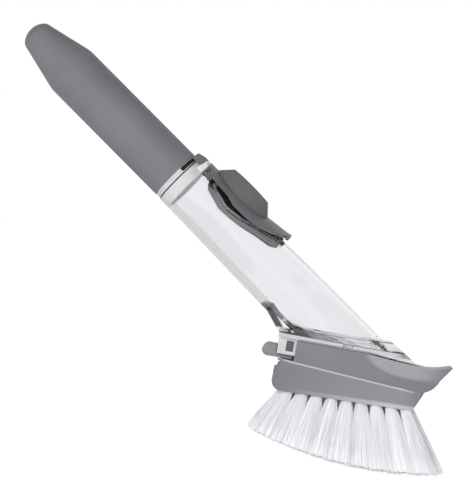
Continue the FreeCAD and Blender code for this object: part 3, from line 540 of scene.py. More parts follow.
class NodeSheet:
    """A node tree under construction, with short ways to add and join nodes."""

    def __init__(self, owner: bpy.types.Material | bpy.types.World) -> None:
        """Starts with an empty tree.

        Args:
            owner: The material or the world that the tree belongs to.
        """
        owner.use_nodes = True
        self.tree = owner.node_tree
        self.tree.nodes.clear()

    def add(self, kind: str, **settings: object) -> bpy.types.ShaderNode:
        """Adds a node.

        Args:
            kind: The node's type.
            **settings: The node's own settings.

        Returns:
            The node.
        """
        node = self.tree.nodes.new(kind)
        for name, setting in settings.items():
            setattr(node, name, setting)
        return node

    def join(self, start: Socket, end: Socket) -> None:
        """Links two sockets."""
        self.tree.links.new(start, end)

    def spread(
        self, source: Socket, low: float, high: float,
        start: float = 0.0, end: float = 1.0,
    ) -> Socket:
        """Spreads a value between two others.

        Args:
            source: The value.
            low: What it becomes at the start of its range.
            high: What it becomes at the end.
            start: The start of its range.
            end: The end of its range.

        Returns:
            The spread value.
        """
        node = self.add("ShaderNodeMapRange")
        node.inputs["From Min"].default_value = start
        node.inputs["From Max"].default_value = end
        node.inputs["To Min"].default_value = low
        node.inputs["To Max"].default_value = high
        self.join(source, node.inputs["Value"])
        return node.outputs["Result"]

    def combine(self, operation: str, first: Socket, second: Socket) -> Socket:
        """Makes one value out of two.

        Args:
            operation: What is done with them.
            first: The first value.
            second: The second value.

        Returns:
            The new value.
        """
        node = self.add("ShaderNodeMath", operation=operation)
        self.join(first, node.inputs[0])
        self.join(second, node.inputs[1])
        return node.outputs["Value"]

    def seen_directly(self) -> Socket:
        """Where the picture, a mirror or clear plastic shows a thing.

        Returns:
            One where it shows, else zero.
        """
        path = self.add("ShaderNodeLightPath")
        total = path.outputs["Is Camera Ray"]
        for name in ("Is Glossy Ray", "Is Transmission Ray"):
            total = self.combine("MAXIMUM", total, path.outputs[name])
        return total

    def show(self, surface: Socket, output: str = "ShaderNodeOutputMaterial") -> None:
        """Makes a shader the surface of the tree's owner."""
        self.join(surface, self.add(output).inputs["Surface"])


class ShaderSheet(NodeSheet):
    """A material with one surface shader, under construction."""

    NOISE_RANGE: ClassVar[Pair] = (0.3, 0.7)

    def __init__(self, name: str) -> None:
        """Starts a material.

        Args:
            name: Name of the material.
        """
        self.material = bpy.data.materials.new(name)
        super().__init__(self.material)
        self.output = self.add("ShaderNodeOutputMaterial")
        self.shader = self.add("ShaderNodeBsdfPrincipled")
        self.join(self.shader.outputs["BSDF"], self.output.inputs["Surface"])
        self.place = self.add("ShaderNodeTexCoord").outputs["Object"]

    def set(self, **values: object) -> None:
        """Sets plain values on the surface shader's own sockets.

        Args:
            **values: Values by socket name, with spaces written as underscores.
        """
        for name, value in values.items():
            self.shader.inputs[name.replace("_", " ")].default_value = value

    def feed(self, name: str, source: Socket) -> None:
        """Links a varying value to one of the surface shader's sockets."""
        self.join(source, self.shader.inputs[name])

    def mark(self, name: str) -> Socket:
        """The value that a mesh carries under a name."""
        return self.add("ShaderNodeAttribute", attribute_name=name).outputs["Fac"]

    def stretched(self, scale: Sequence[float]) -> Socket:
        """Object coordinates, stretched along the three axes.

        Args:
            scale: Factor along X, Y and Z.

        Returns:
            The stretched coordinates.
        """
        mapping = self.add("ShaderNodeMapping")
        mapping.inputs["Scale"].default_value = scale
        self.join(self.place, mapping.inputs["Vector"])
        return mapping.outputs["Vector"]

    def noise(self, scale: float, detail: float, place: Socket | None = None) -> Socket:
        """Cloudy noise.

        Args:
            scale: Clouds for each metre.
            detail: Layers of finer clouds.
            place: Coordinates, or None for plain object coordinates.

        Returns:
            The noise from 0 to 1.
        """
        node = self.add("ShaderNodeTexNoise")
        node.inputs["Scale"].default_value = scale
        node.inputs["Detail"].default_value = detail
        self.join(place or self.place, node.inputs["Vector"])
        return node.outputs["Fac"]

    def remap(self, source: Socket, low: float, high: float) -> Socket:
        """A noise spread between two values."""
        return self.spread(source, low, high, *self.NOISE_RANGE)

    def blend(self, share: Socket, first: object, second: object) -> Socket:
        """Mixes two colours or two numbers.

        Args:
            share: How much of the second one shows.
            first: A colour, a number or a socket that gives one.
            second: The same.

        Returns:
            The mixed colour or number.
        """
        plain = isinstance(second, float)
        node = self.add("ShaderNodeMix", data_type="FLOAT" if plain else "RGBA")
        self.join(share, node.inputs["Factor"])
        for socket, part in zip(node.inputs[2:4] if plain else node.inputs[6:8], (first, second)):
            if isinstance(part, Socket):
                self.join(part, socket)
            else:
                socket.default_value = part
        return node.outputs[0 if plain else 2]

    def bump(self, height: Socket, depth: float, strength: float = 1.0) -> None:
        """Adds relief to the surface shader, over any relief that it has.

        Args:
            height: Noise that gives the relief.
            depth: Depth of the relief in metres.
            strength: How strongly it shows.
        """
        node = self.add("ShaderNodeBump")
        node.inputs["Strength"].default_value = strength
        node.inputs["Distance"].default_value = depth
        self.join(height, node.inputs["Height"])
        normal = self.shader.inputs["Normal"]
        if normal.is_linked:
            self.join(normal.links[0].from_socket, node.inputs["Normal"])
        self.join(node.outputs["Normal"], normal)


@dataclass(frozen=True)
class Finish(ABC):
    """A finish of the wand.

    Attributes:
        name: Name of its material.
    """

    name: str

    @abstractmethod
    def paint(self, sheet: ShaderSheet) -> None:
        """Draws the finish.

        Args:
            sheet: The material under construction.
        """

    def material(self) -> bpy.types.Material:
        """Builds the material.

        Returns:
            The finished material.
        """
        sheet = ShaderSheet(self.name)
        self.paint(sheet)
        return sheet.material


@dataclass(frozen=True)
class MouldedPlastic(Finish):
    """Opaque moulded plastic with a fine grain.

    Attributes:
        dark: Darker tone of the colour.
        light: Lighter tone of the colour.
        gloss: Lowest and highest roughness.
        grain: Grains for each metre.
        relief: Depth of the grain.
        sheen: Level of the surface's mirror-like part.
        polished: Lighter tone painted on as a highlight where a mesh marks one, or None.
        POLISH: Name under which a mesh says where a painted highlight lies.
    """

    POLISH: ClassVar[str] = "painted_highlight"

    dark: Colour
    light: Colour
    gloss: Pair
    grain: float
    relief: float
    sheen: float = 0.4
    polished: Colour | None = None

    def paint(self, sheet: ShaderSheet) -> None:
        """Draws the drift of the tone, any painted highlight, dark specks, rubbed spots, grain and sink marks.

        Args:
            sheet: The material under construction.
        """
        drift = sheet.remap(sheet.noise(scale=34.0, detail=2.0), low=0.0, high=1.0)
        tone = sheet.blend(drift, self.dark, self.light)
        # Painted highlight: a lighter tone where the mesh marks one.
        if self.polished is not None:
            tone = sheet.blend(sheet.mark(self.POLISH), tone, self.polished)
        specks = sheet.remap(sheet.noise(scale=self.grain * 0.6, detail=2.0), low=0.0, high=0.16)
        sheet.feed("Base Color", sheet.blend(specks, tone, self.dark))
        rubbed = sheet.noise(scale=260.0, detail=4.0)
        sheet.feed("Roughness", sheet.remap(rubbed, *self.gloss))
        sheet.set(Specular_IOR_Level=self.sheen)
        sheet.bump(sheet.noise(scale=self.grain, detail=3.0), depth=self.relief)
        sheet.bump(sheet.noise(scale=90.0, detail=1.0), depth=self.relief * 4)


@dataclass(frozen=True)
class Zone:
    """A part of a clear moulding that looks different, on one side of one or two planes.

    Attributes:
        planes: A point on each plane and the way into the zone.
        soft: Distance over which the look changes.
        tint: Colour of the plastic there.
        clarity: Share of the light that passes through there.
        veins: Colour of the flow lines there, if they show.
        ripple: Depth of the flow lines there.
    """

    planes: tuple[Plane, ...]
    soft: float
    tint: Colour
    clarity: float
    veins: Colour | None = None
    ripple: float = 0.0

    @classmethod
    def shoulder(cls) -> Zone:
        """The thick shoulder of the tube, next to the seal."""
        end = WAND.slanted(along=48.3 * MM, out=0.0)
        return cls(((end, -WAND.axis),), soft=1.0 * MM, tint=shade(250, 250, 252), clarity=0.3)

    @classmethod
    def heel(cls) -> Zone:
        """The slanted back of the tube's heel, with painted shade that stands in for the dark it shows by refraction.

        Returns:
            The zone.
        """
        wall, slope = WAND.deck_point(along=-36.4 * MM, up=6.6 * MM), Vector((-8.1, 0.0, -6.6))
        planes = (wall, slope.normalized()), (WAND.deck_point(up=15.0 * MM), DOWN)
        # Painted shade: a dark tint in place of the dark that refraction shows.
        return cls(planes, soft=0.5 * MM, tint=shade(92, 92, 96), clarity=0.55)

    @classmethod
    def feet(cls) -> Zone:
        """The two feet of the base, whiter than the rest."""
        front, top = (WAND.deck_point(along=-26.6 * MM), REAR), (WAND.deck_point(), DOWN)
        return cls((front, top), soft=0.4 * MM, tint=shade(253, 253, 254), clarity=0.45)

    @classmethod
    def flange(cls) -> Zone:
        """The thick flange at the foot of the tube, full of flow lines.

        Returns:
            The zone.
        """
        top = WAND.deck_point(up=7.0 * MM), Vector((0.052, 0.0, -1.0)).normalized()
        return cls(
            (top,), soft=0.4 * MM, tint=shade(252, 252, 254), clarity=0.93,
            veins=shade(214, 214, 218), ripple=0.12 * MM,
        )

    @classmethod
    def under_lever(cls) -> Zone:
        """The rear of the diaphragm's frame, with painted shade where the lever shades it.

        Returns:
            The zone.
        """
        end = WAND.slanted(along=WAND.mouth + 20.0 * MM, out=0.0), -WAND.axis
        side = WAND.slanted(along=0.0, out=8.6 * MM), WAND.lever_side
        # Painted shade under the lever.
        return cls((end, side), soft=0.6 * MM, tint=shade(38, 38, 40), clarity=0.2)

    def look(self, sheet: ShaderSheet) -> Colour | Socket:
        """Colours the zone.

        Args:
            sheet: The material under construction.

        Returns:
            Its colour, with its flow lines if they show.
        """
        if self.veins is None:
            return self.tint
        return sheet.blend(sheet.remap(self.flow(sheet), 0.0, 1.0), self.tint, self.veins)

    def flow(self, sheet: ShaderSheet) -> Socket:
        """Long flow lines that run round the moulding, as a noise."""
        return sheet.noise(scale=700.0, detail=2.0, place=sheet.stretched((0.14, 0.3, 1.0)))

    def mask(self, sheet: ShaderSheet) -> Socket:
        """Draws the zone.

        Args:
            sheet: The material under construction.

        Returns:
            One inside the zone, else zero.
        """
        total = None
        for point, way in self.planes:
            reach = sheet.add("ShaderNodeVectorMath", operation="DOT_PRODUCT")
            sheet.join(sheet.place, reach.inputs[0])
            reach.inputs[1].default_value = way
            edge, half = point.dot(way), self.soft / 2
            inside = sheet.spread(reach.outputs["Value"], 0.0, 1.0, edge - half, edge + half)
            total = inside if total is None else sheet.combine("MULTIPLY", total, inside)
        return total


@dataclass(frozen=True)
class ClearPlastic(Finish):
    """Clear moulded plastic with faint waves and hairline scratches.

    Attributes:
        tint: Colour of light that passes through a surface.
        gloss: Lowest and highest roughness.
        clarity: Share of the light that passes through instead of coming back.
        haze: Colour that the wall's thickness takes on, and how soon for each metre, or None.
        zones: Parts that look different.
    """

    tint: Colour
    gloss: Pair
    clarity: float = 1.0
    haze: tuple[Colour, float] | None = None
    zones: tuple[Zone, ...] = ()

    def paint(self, sheet: ShaderSheet) -> None:
        """Draws pale clouds, the zones, scratches and waves.

        Args:
            sheet: The material under construction.
        """
        clouds = sheet.noise(scale=60.0, detail=2.0)
        tone = sheet.blend(clouds, self.tint, toned(self.tint, factor=1.02))
        passing = self.clarity
        for zone in self.zones:
            mask = zone.mask(sheet)
            tone = sheet.blend(mask, tone, zone.look(sheet))
            passing = sheet.blend(mask, passing, zone.clarity)
            if zone.ripple > 0:
                sheet.bump(sheet.combine("MULTIPLY", mask, zone.flow(sheet)), depth=zone.ripple)
        sheet.feed("Base Color", tone)
        scratches = sheet.noise(scale=900.0, detail=5.0, place=sheet.stretched((1.0, 6.0, 1.0)))
        sheet.feed("Roughness", sheet.remap(scratches, *self.gloss))
        sheet.set(Transmission_Weight=self.clarity, IOR=1.49, Specular_IOR_Level=0.5)
        if self.zones:
            sheet.feed("Transmission Weight", passing)
        sheet.bump(sheet.noise(scale=40.0, detail=1.0), depth=0.01 * MM, strength=0.2)
        if self.haze is not None:
            body = sheet.add("ShaderNodeVolumeAbsorption")
            body.inputs["Color"].default_value, body.inputs["Density"].default_value = self.haze
            sheet.join(body.outputs["Volume"], sheet.output.inputs["Volume"])


@dataclass(frozen=True)
class SoftRubber(Finish):
    """Dark soft elastomer, dusty in its pores.

    Attributes:
        dark: Colour of the bare rubber.
        dusty: Colour where dust dulls it.
        gloss: Lowest and highest roughness.
    """

    dark: Colour
    dusty: Colour
    gloss: Pair

    def paint(self, sheet: ShaderSheet) -> None:
        """Draws the dust and the pores.

        Args:
            sheet: The material under construction.
        """
        dust = sheet.noise(scale=220.0, detail=5.0)
        tone = sheet.blend(sheet.remap(dust, low=0.0, high=0.7), self.dark, self.dusty)
        sheet.feed("Base Color", tone)
        sheet.feed("Roughness", sheet.remap(dust, *self.gloss))
        sheet.set(Specular_IOR_Level=0.14)
        sheet.bump(sheet.noise(scale=2600.0, detail=2.0), depth=0.012 * MM)


@dataclass(frozen=True)
class NylonFilament(Finish):
    """White nylon filaments that let some light through.

    Attributes:
        root: Colour near the block.
        tip: Colour towards the ends, lighter as painted light.
        gloss: Lowest and highest roughness.
        glow: Painted glow towards the ends, given as emission.
        ALONG: Name under which a mesh says how far along its filaments a corner is.
        STRAND: Name under which a mesh gives each filament its own shade.
    """

    ALONG: ClassVar[str] = "strand_along"
    STRAND: ClassVar[str] = "strand_shade"

    root: Colour
    tip: Colour
    gloss: Pair
    glow: float

    def paint(self, sheet: ShaderSheet) -> None:
        """Draws each filament's shade, the painted light and painted glow at the ends, and scuff marks.

        Args:
            sheet: The material under construction.
        """
        along, strand = sheet.mark(self.ALONG), sheet.mark(self.STRAND)
        # Painted light: the colour grows lighter towards the ends.
        run = sheet.blend(along, self.root, self.tip)
        dull = sheet.remap(strand, low=0.0, high=0.5)
        sheet.feed("Base Color", sheet.blend(dull, run, toned(self.root, factor=0.96)))
        sheet.feed("Roughness", sheet.remap(strand, *self.gloss))
        sheet.set(Specular_IOR_Level=0.4, Emission_Color=self.tip)
        sheet.set(
            Subsurface_Weight=0.2, Subsurface_Scale=0.06 * MM, Subsurface_Radius=(1.0, 1.0, 1.0),
        )
        # Painted glow: emission that grows over the last quarter of each filament.
        ends = sheet.spread(along, low=0.0, high=self.glow, start=0.75)
        sheet.feed("Emission Strength", ends)
        sheet.bump(sheet.noise(scale=1800.0, detail=2.0), depth=0.01 * MM)


@dataclass(frozen=True)
class DrawnSteel(Finish):
    """Bright drawn wire with lengthwise marks.

    Attributes:
        dark: Colour in the drawing marks.
        light: Colour of the bright metal.
        gloss: Lowest and highest roughness.
    """

    dark: Colour
    light: Colour
    gloss: Pair

    def paint(self, sheet: ShaderSheet) -> None:
        """Draws the marks.

        Args:
            sheet: The material under construction.
        """
        marks = sheet.noise(scale=1500.0, detail=3.0, place=sheet.stretched((1.0, 0.05, 1.0)))
        tone = sheet.blend(sheet.remap(marks, low=0.0, high=1.0), self.dark, self.light)
        sheet.feed("Base Color", tone)
        sheet.feed("Roughness", sheet.remap(marks, *self.gloss))
        sheet.set(Metallic=1.0)
        sheet.bump(marks, depth=0.004 * MM)


class Finishes:
    """Every finish of the wand, built once."""

    def __init__(self) -> None:
        """Mixes the finishes."""
        matt = {"gloss": (0.42, 0.52), "grain": 2600.0, "relief": 0.01 * MM}
        satin = {"gloss": (0.36, 0.46), "grain": 2200.0, "relief": 0.008 * MM}
        bright = {"tint": shade(249, 249, 251), "gloss": (0.01, 0.025)}
        cloudy = shade(250, 250, 252)
        self.handle = MouldedPlastic(
            "handle_matt_grey", shade(121, 120, 126), shade(129, 128, 134),
            gloss=(0.5, 0.6), grain=2600.0, relief=0.012 * MM, sheen=0.3,
        ).material()
        # The lever, and the witness lines round the flange.
        self.lever = MouldedPlastic(
            "lever_matt_grey", shade(104, 104, 108), shade(112, 112, 116), **matt,
        ).material()
        # The thumb pad, and the dark blocks of painted shade in the feet's windows.
        self.pad = MouldedPlastic(
            "pad_dark_grey", shade(94, 93, 96), shade(102, 101, 104), **matt,
        ).material()
        self.head = MouldedPlastic(
            "head_satin_grey", shade(134, 134, 139), shade(142, 142, 147), **satin,
        ).material()
        # The carrier, with a painted sheen in its scoops.
        self.scooped = MouldedPlastic(
            "carrier_satin_grey", shade(128, 128, 133), shade(136, 136, 141), **satin,
            polished=shade(166, 166, 171),
        ).material()
        # The block, with painted highlights along its rims and painted light towards its front.
        self.block = MouldedPlastic(
            "block_satin_grey", shade(128, 128, 133), shade(135, 135, 140), **satin,
            polished=shade(206, 206, 210),
        ).material()
        # The ring that holds the valve.
        self.clear = ClearPlastic("clear_polished", **bright).material()
        # The base, a little cloudy and whiter at its feet, and the diaphragm's rim, whose milky white also gives a
        # painted highlight.
        self.milky = ClearPlastic(
            "milky_clear", cloudy, gloss=(0.02, 0.05), clarity=0.82,
            haze=(shade(222, 223, 227), 30.0), zones=(Zone.feet(),),
        ).material()
        self.collar = ClearPlastic(
            "collar_clear", cloudy, gloss=(0.05, 0.1), clarity=0.35,
            haze=(shade(235, 235, 238), 20.0),
        ).material()
        # The tube, cloudy at its shoulder, with painted shade at its heel and streaked at its flange.
        self.tube = ClearPlastic(
            "tube_clear", **bright, zones=(Zone.shoulder(), Zone.heel(), Zone.flange()),
        ).material()
        # The diaphragm's frame, with painted shade at its rear under the lever.
        self.smoked = ClearPlastic(
            "smoked_clear", shade(150, 150, 154), gloss=(0.08, 0.16), clarity=0.4,
            haze=(shade(140, 140, 146), 240.0), zones=(Zone.under_lever(),),
        ).material()
        self.rubber = SoftRubber(
            "black_rubber", shade(24, 24, 25), shade(44, 44, 45), gloss=(0.38, 0.62),
        ).material()
        self.nylon = NylonFilament(
            "white_nylon", shade(247, 246, 250), shade(252, 252, 255), gloss=(0.32, 0.5), glow=0.07,
        ).material()
        self.steel = DrawnSteel(
            "drawn_steel", shade(150, 150, 152), shade(206, 206, 208), gloss=(0.22, 0.4),
        ).material()


def dress(piece: Piece, finish: bpy.types.Material) -> None:
    """Gives a piece its finish.

    Args:
        piece: The object to dress.
        finish: Its material.
    """
    if not piece.material_slots:
        piece.data.materials.append(None)
    for material_slot in piece.material_slots:
        material_slot.material = finish


def fit(piece: Piece, body: Body, slot: Slot, *nodes: str) -> None:
    """Joins a new piece to the frame.

    Args:
        piece: The finished object.
        body: The body that it rides on.
        slot: The material slot that it takes.
        *nodes: The nodes that it stands for.
    """
    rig.ride(piece, body.value)
    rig.slot(piece, slot.value)
    if nodes:
        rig.replaces(piece, *nodes)
    LOG.info("%s rides on %s", piece.name, body.value)


class SubAssembly(ABC):
    """A group of pieces that are made and dressed together."""

    @abstractmethod
    def build(self) -> None:
        """Models the group's new pieces."""

    @abstractmethod
    def dress(self, finishes: Finishes) -> None:
        """Gives the group's pieces their finishes.

        Args:
            finishes: The wand's finishes.
        """


@dataclass
class Handle(SubAssembly):
    """Grey handle, its clear collar and the black seal under it.

    Attributes:
        seal_inner: Inner radius of the seal.
        seal_split: Radius where the seal's pale web meets its black rim.
        seal_outer: Outer radius of the seal.
        seal_reach: Stations of the seal's two faces along the axis.
        seal_round: Rounding of the seal's outer edge.
        seal_chord: Share of the rounding that is left at its middle.
        pad_reach: Where the collar's dark patches of painted shade start and end along the axis.
        pad_radius: Inner and outer radius of the patches.
        pad_turn: Angles from the lever's side between which a patch lies.
        pad_round: Rounding of the patches' edges.
        sides: Corners round the seal and the patches.
    """

    seal_inner: float = 11.45 * MM
    seal_split: float = 13.75 * MM
    seal_outer: float = 14.2 * MM
    seal_reach: Pair = (41.75 * MM, 42.35 * MM)
    seal_round: float = 0.22 * MM
    seal_chord: float = 0.3
    pad_reach: Pair = (39.2 * MM, 41.3 * MM)
    pad_radius: Pair = (13.9 * MM, 14.25 * MM)
    pad_turn: Pair = (24.0, 72.0)
    pad_round: float = 0.12 * MM
    sides: int = 128

    def build(self) -> None:
        """Turns the seal ring with its web, and the collar's dark patches of painted shade."""
        (top, low), rim, soft = self.seal_reach, self.seal_outer, self.seal_round
        part = soft * self.seal_chord
        self.seal = self.turned("seal_ring", (
            (self.seal_split, top), (rim - soft, top), (rim - part, top + part), (rim, top + soft),
            (rim, low - soft), (rim - part, low - part), (rim - soft, low), (self.seal_split, low),
        ))
        fit(self.seal, Body.SEAL, Slot.RUBBER, "handle_seal")
        web = band((self.seal_inner, self.seal_split), self.seal_reach)
        self.web = self.turned("seal_web", web)
        fit(self.web, Body.SEAL, Slot.CLEAR)
        # Dark patches of painted shade in the collar, where it shows dark by refraction.
        self.pads = [self.collar_pad(side) for side in (1.0, -1.0)]

    def turned(self, name: str, rings: Sequence[Ring]) -> Piece:
        """Turns a closed ring in its place round the axis.

        Args:
            name: Name of the piece.
            rings: Radius and station of each corner of its section.

        Returns:
            The ring.
        """
        piece = Bench.lathe(name, rings, self.sides, closed=True)
        Bench.settle(piece, WAND.frame())
        Bench.smooth(piece, Bench.TURNED)
        return piece

    def collar_pad(self, side: float) -> Piece:
        """Cuts a dark patch of painted shade for one side of the collar, where the collar shows dark by refraction.

        Args:
            side: 1 for the near side, -1 for the far one.

        Returns:
            The patch.
        """
        name = "collar_shade_near" if side > 0 else "collar_shade_far"
        rings = band(self.pad_radius, self.pad_reach)
        piece = Bench.lathe(name, rings, self.sides, closed=True)
        Bench.wedge(piece, *sorted(turn * side for turn in self.pad_turn))
        Bench.soften(piece, self.pad_round, steps=2)
        Bench.settle(piece, WAND.frame())
        fit(piece, Body.HANDLE, Slot.RUBBER)
        return piece

    def dress(self, finishes: Finishes) -> None:
        """Gives handle, collar, seal and the collar's patches of painted shade their finishes.

        Args:
            finishes: The wand's finishes.
        """
        dress(NODES["handle_grip"], finishes.handle)
        dress(NODES["handle_collar"], finishes.collar)
        dress(self.web, finishes.collar)
        for piece in (self.seal, *self.pads):
            dress(piece, finishes.rubber)


@dataclass
class Reservoir(SubAssembly):
    """Clear tube and base, and the slit valve in the outlet.

    Attributes:
        valve_radius: Radius of the valve's rim.
        valve_flat: Share of that radius that is flat.
        valve_edge: Height over which the rim's edge is rounded.
        valve_top: Height of the valve's upper face, from the top of the brush head.
        valve_thickness: Thickness of the rim.
        valve_middle: Radius of the small faces in the valve's middle.
        outlet_radius: Radius of the part that bulges down.
        bulge: How far the middle bulges.
        bulge_bend: Share of the radius and of the bulge where its slope changes.
        slit: Length and width of each slit, and height of the blade that cuts it.
        sides: Corners round the valve.
        valve_smooth: Edges below this angle in degrees look smooth on the valve.
        stop_low: Lowest corner of the dark grey block of painted shade in a foot's window, from the top of the head.
        stop_high: Its highest corner.
        stop_inset: Width of the frame on its outer face, and how far its middle lies in.
        stop_round: Rounding of its edges.
        seams: Name of each witness line round the flange, and its heights at rear and front.
        seam_ends: Where along the head those heights are.
        seam_height: Height of a witness line.
        seam_lift: How far a witness line stands out.
        seam_steep: Faces that look up or down more than this have no line.
        seam_bare: Half width of the strip at rear and front that has no line.
    """

    valve_radius: float = 5.6 * MM
    valve_flat: float = 0.94
    valve_edge: float = 0.1 * MM
    valve_top: float = -4.6 * MM
    valve_thickness: float = 1.3 * MM
    valve_middle: float = 0.02 * MM
    outlet_radius: float = 3.0 * MM
    bulge: float = 0.7 * MM
    bulge_bend: Pair = (0.7, 0.55)
    slit: tuple[float, float, float] = (5.0 * MM, 0.3 * MM, 5.2 * MM)
    sides: int = 64
    valve_smooth: float = 35.0
    stop_low: tuple[float, float, float] = (-31.65 * MM, 13.4 * MM, -6.05 * MM)
    stop_high: tuple[float, float, float] = (-28.0 * MM, 15.2 * MM, -0.75 * MM)
    stop_inset: Pair = (0.55 * MM, 0.35 * MM)
    stop_round: float = 0.12 * MM
    seams: tuple[tuple[str, float, float], ...] = (
        ("flange_line_upper", 4.5 * MM, 7.3 * MM), ("flange_line_lower", 2.85 * MM, 2.85 * MM),
    )
    seam_ends: Pair = (-36.5 * MM, 21.4 * MM)
    seam_height: float = 0.3 * MM
    seam_lift: float = 0.06 * MM
    seam_steep: float = 0.5
    seam_bare: float = 9.0 * MM

    def build(self) -> None:
        """Shapes the valve, the dark blocks of painted shade in the feet and the witness lines."""
        self.valve = self.slit_valve()
        fit(self.valve, Body.RESERVOIR, Slot.RUBBER, "outlet_valve")
        # Dark grey blocks in the feet's windows, as painted shade.
        self.stops = [self.window_stop(side) for side in (-1.0, 1.0)]
        self.lines = [self.witness_line(*seam) for seam in self.seams]

    def slit_valve(self) -> Piece:
        """Turns the valve and cuts its crossed slits.

        Returns:
            The valve.
        """
        top, low = self.valve_top, self.valve_top - self.valve_thickness
        rim, flat, edge = self.valve_radius, self.valve_radius * self.valve_flat, self.valve_edge
        across, down = self.bulge_bend
        rings = (
            (self.valve_middle, top), (flat, top), (rim, top - edge), (rim, low + edge),
            (flat, low), (self.outlet_radius, low),
            (self.outlet_radius * across, low - self.bulge * down),
            (self.valve_middle, low - self.bulge),
        )
        piece = Bench.lathe("slit_valve", rings, self.sides)
        Bench.close_ends(piece)
        for turn in (0.0, math.pi / 2):
            Bench.clear()
            bpy.ops.mesh.primitive_cube_add(size=1.0, location=(0, 0, top), rotation=(0, 0, turn))
            bpy.context.object.scale = self.slit
            blade = Bench.named("blade")
            Bench.modify(piece, "BOOLEAN", operation="DIFFERENCE", object=blade, solver="EXACT")
            bpy.data.objects.remove(blade)
        Bench.settle(piece, Matrix.Translation(WAND.deck_point()))
        Bench.smooth(piece, self.valve_smooth)
        return piece

    def witness_line(self, name: str, rear: float, front: float) -> Piece:
        """Cuts a thin ribbon from the outside of the tube, along one of its seams.

        Args:
            name: Name of the ribbon.
            rear: Height of its top at the rear, from the top of the head.
            front: Height of its top at the front.

        Returns:
            The ribbon.
        """
        deck = WAND.deck_point()
        start, end = self.seam_ends
        top = deck + Vector((start, 0.0, rear))
        normal = Vector((rear - front, 0.0, end - start)).normalized()
        piece = Bench.moulding("reservoir_tube", name)
        for drop, way in ((0.0, 1.0), (self.seam_height, -1.0)):
            Bench.trim(piece, top - normal * drop, normal * way)
        Bench.drop_faces(piece, [
            abs(face.normal.z) > self.seam_steep or face.normal.dot(face.center - deck) < 0
            or abs(face.center.y) < self.seam_bare
            for face in piece.data.polygons
        ])
        Bench.modify(piece, "SOLIDIFY", thickness=self.seam_lift * 2, offset=0.0)
        fit(piece, Body.RESERVOIR, Slot.CLEAR)
        return piece

    def window_stop(self, side: float) -> Piece:
        """Shapes the dark grey block in a foot's window, painted shade that stands in for the shaded inside behind it.

        Args:
            side: -1 for the near foot, 1 for the far one.

        Returns:
            The block.
        """
        low, high = Vector(self.stop_low), Vector(self.stop_high)
        middle = (low + high) / 2
        Bench.clear()
        bpy.ops.mesh.primitive_cube_add(size=1.0)
        bpy.context.object.scale = high - low
        piece = Bench.named("foot_window_dark_near" if side < 0 else "foot_window_dark_far")
        width, depth = self.stop_inset
        outer = [face.normal.y * side > 0.5 for face in piece.data.polygons]
        with Bench.editing(piece, outer):
            bpy.ops.mesh.inset(thickness=width, depth=-depth)
        Bench.soften(piece, self.stop_round, steps=2)
        place = WAND.deck_point() + Vector((middle.x, middle.y * side, middle.z))
        Bench.settle(piece, Matrix.Translation(place))
        fit(piece, Body.RESERVOIR, Slot.RUBBER)
        return piece

    def dress(self, finishes: Finishes) -> None:
        """Gives tube, base, valve, ring, dark blocks of painted shade and lines their finishes.

        Args:
            finishes: The wand's finishes.
        """
        dress(NODES["reservoir_tube"], finishes.tube)
        dress(NODES["valve_ring"], finishes.clear)
        dress(NODES["reservoir_base"], finishes.milky)
        dress(self.valve, finishes.rubber)
        for piece in self.stops:
            dress(piece, finishes.pad)
        for piece in self.lines:
            dress(piece, finishes.lever)


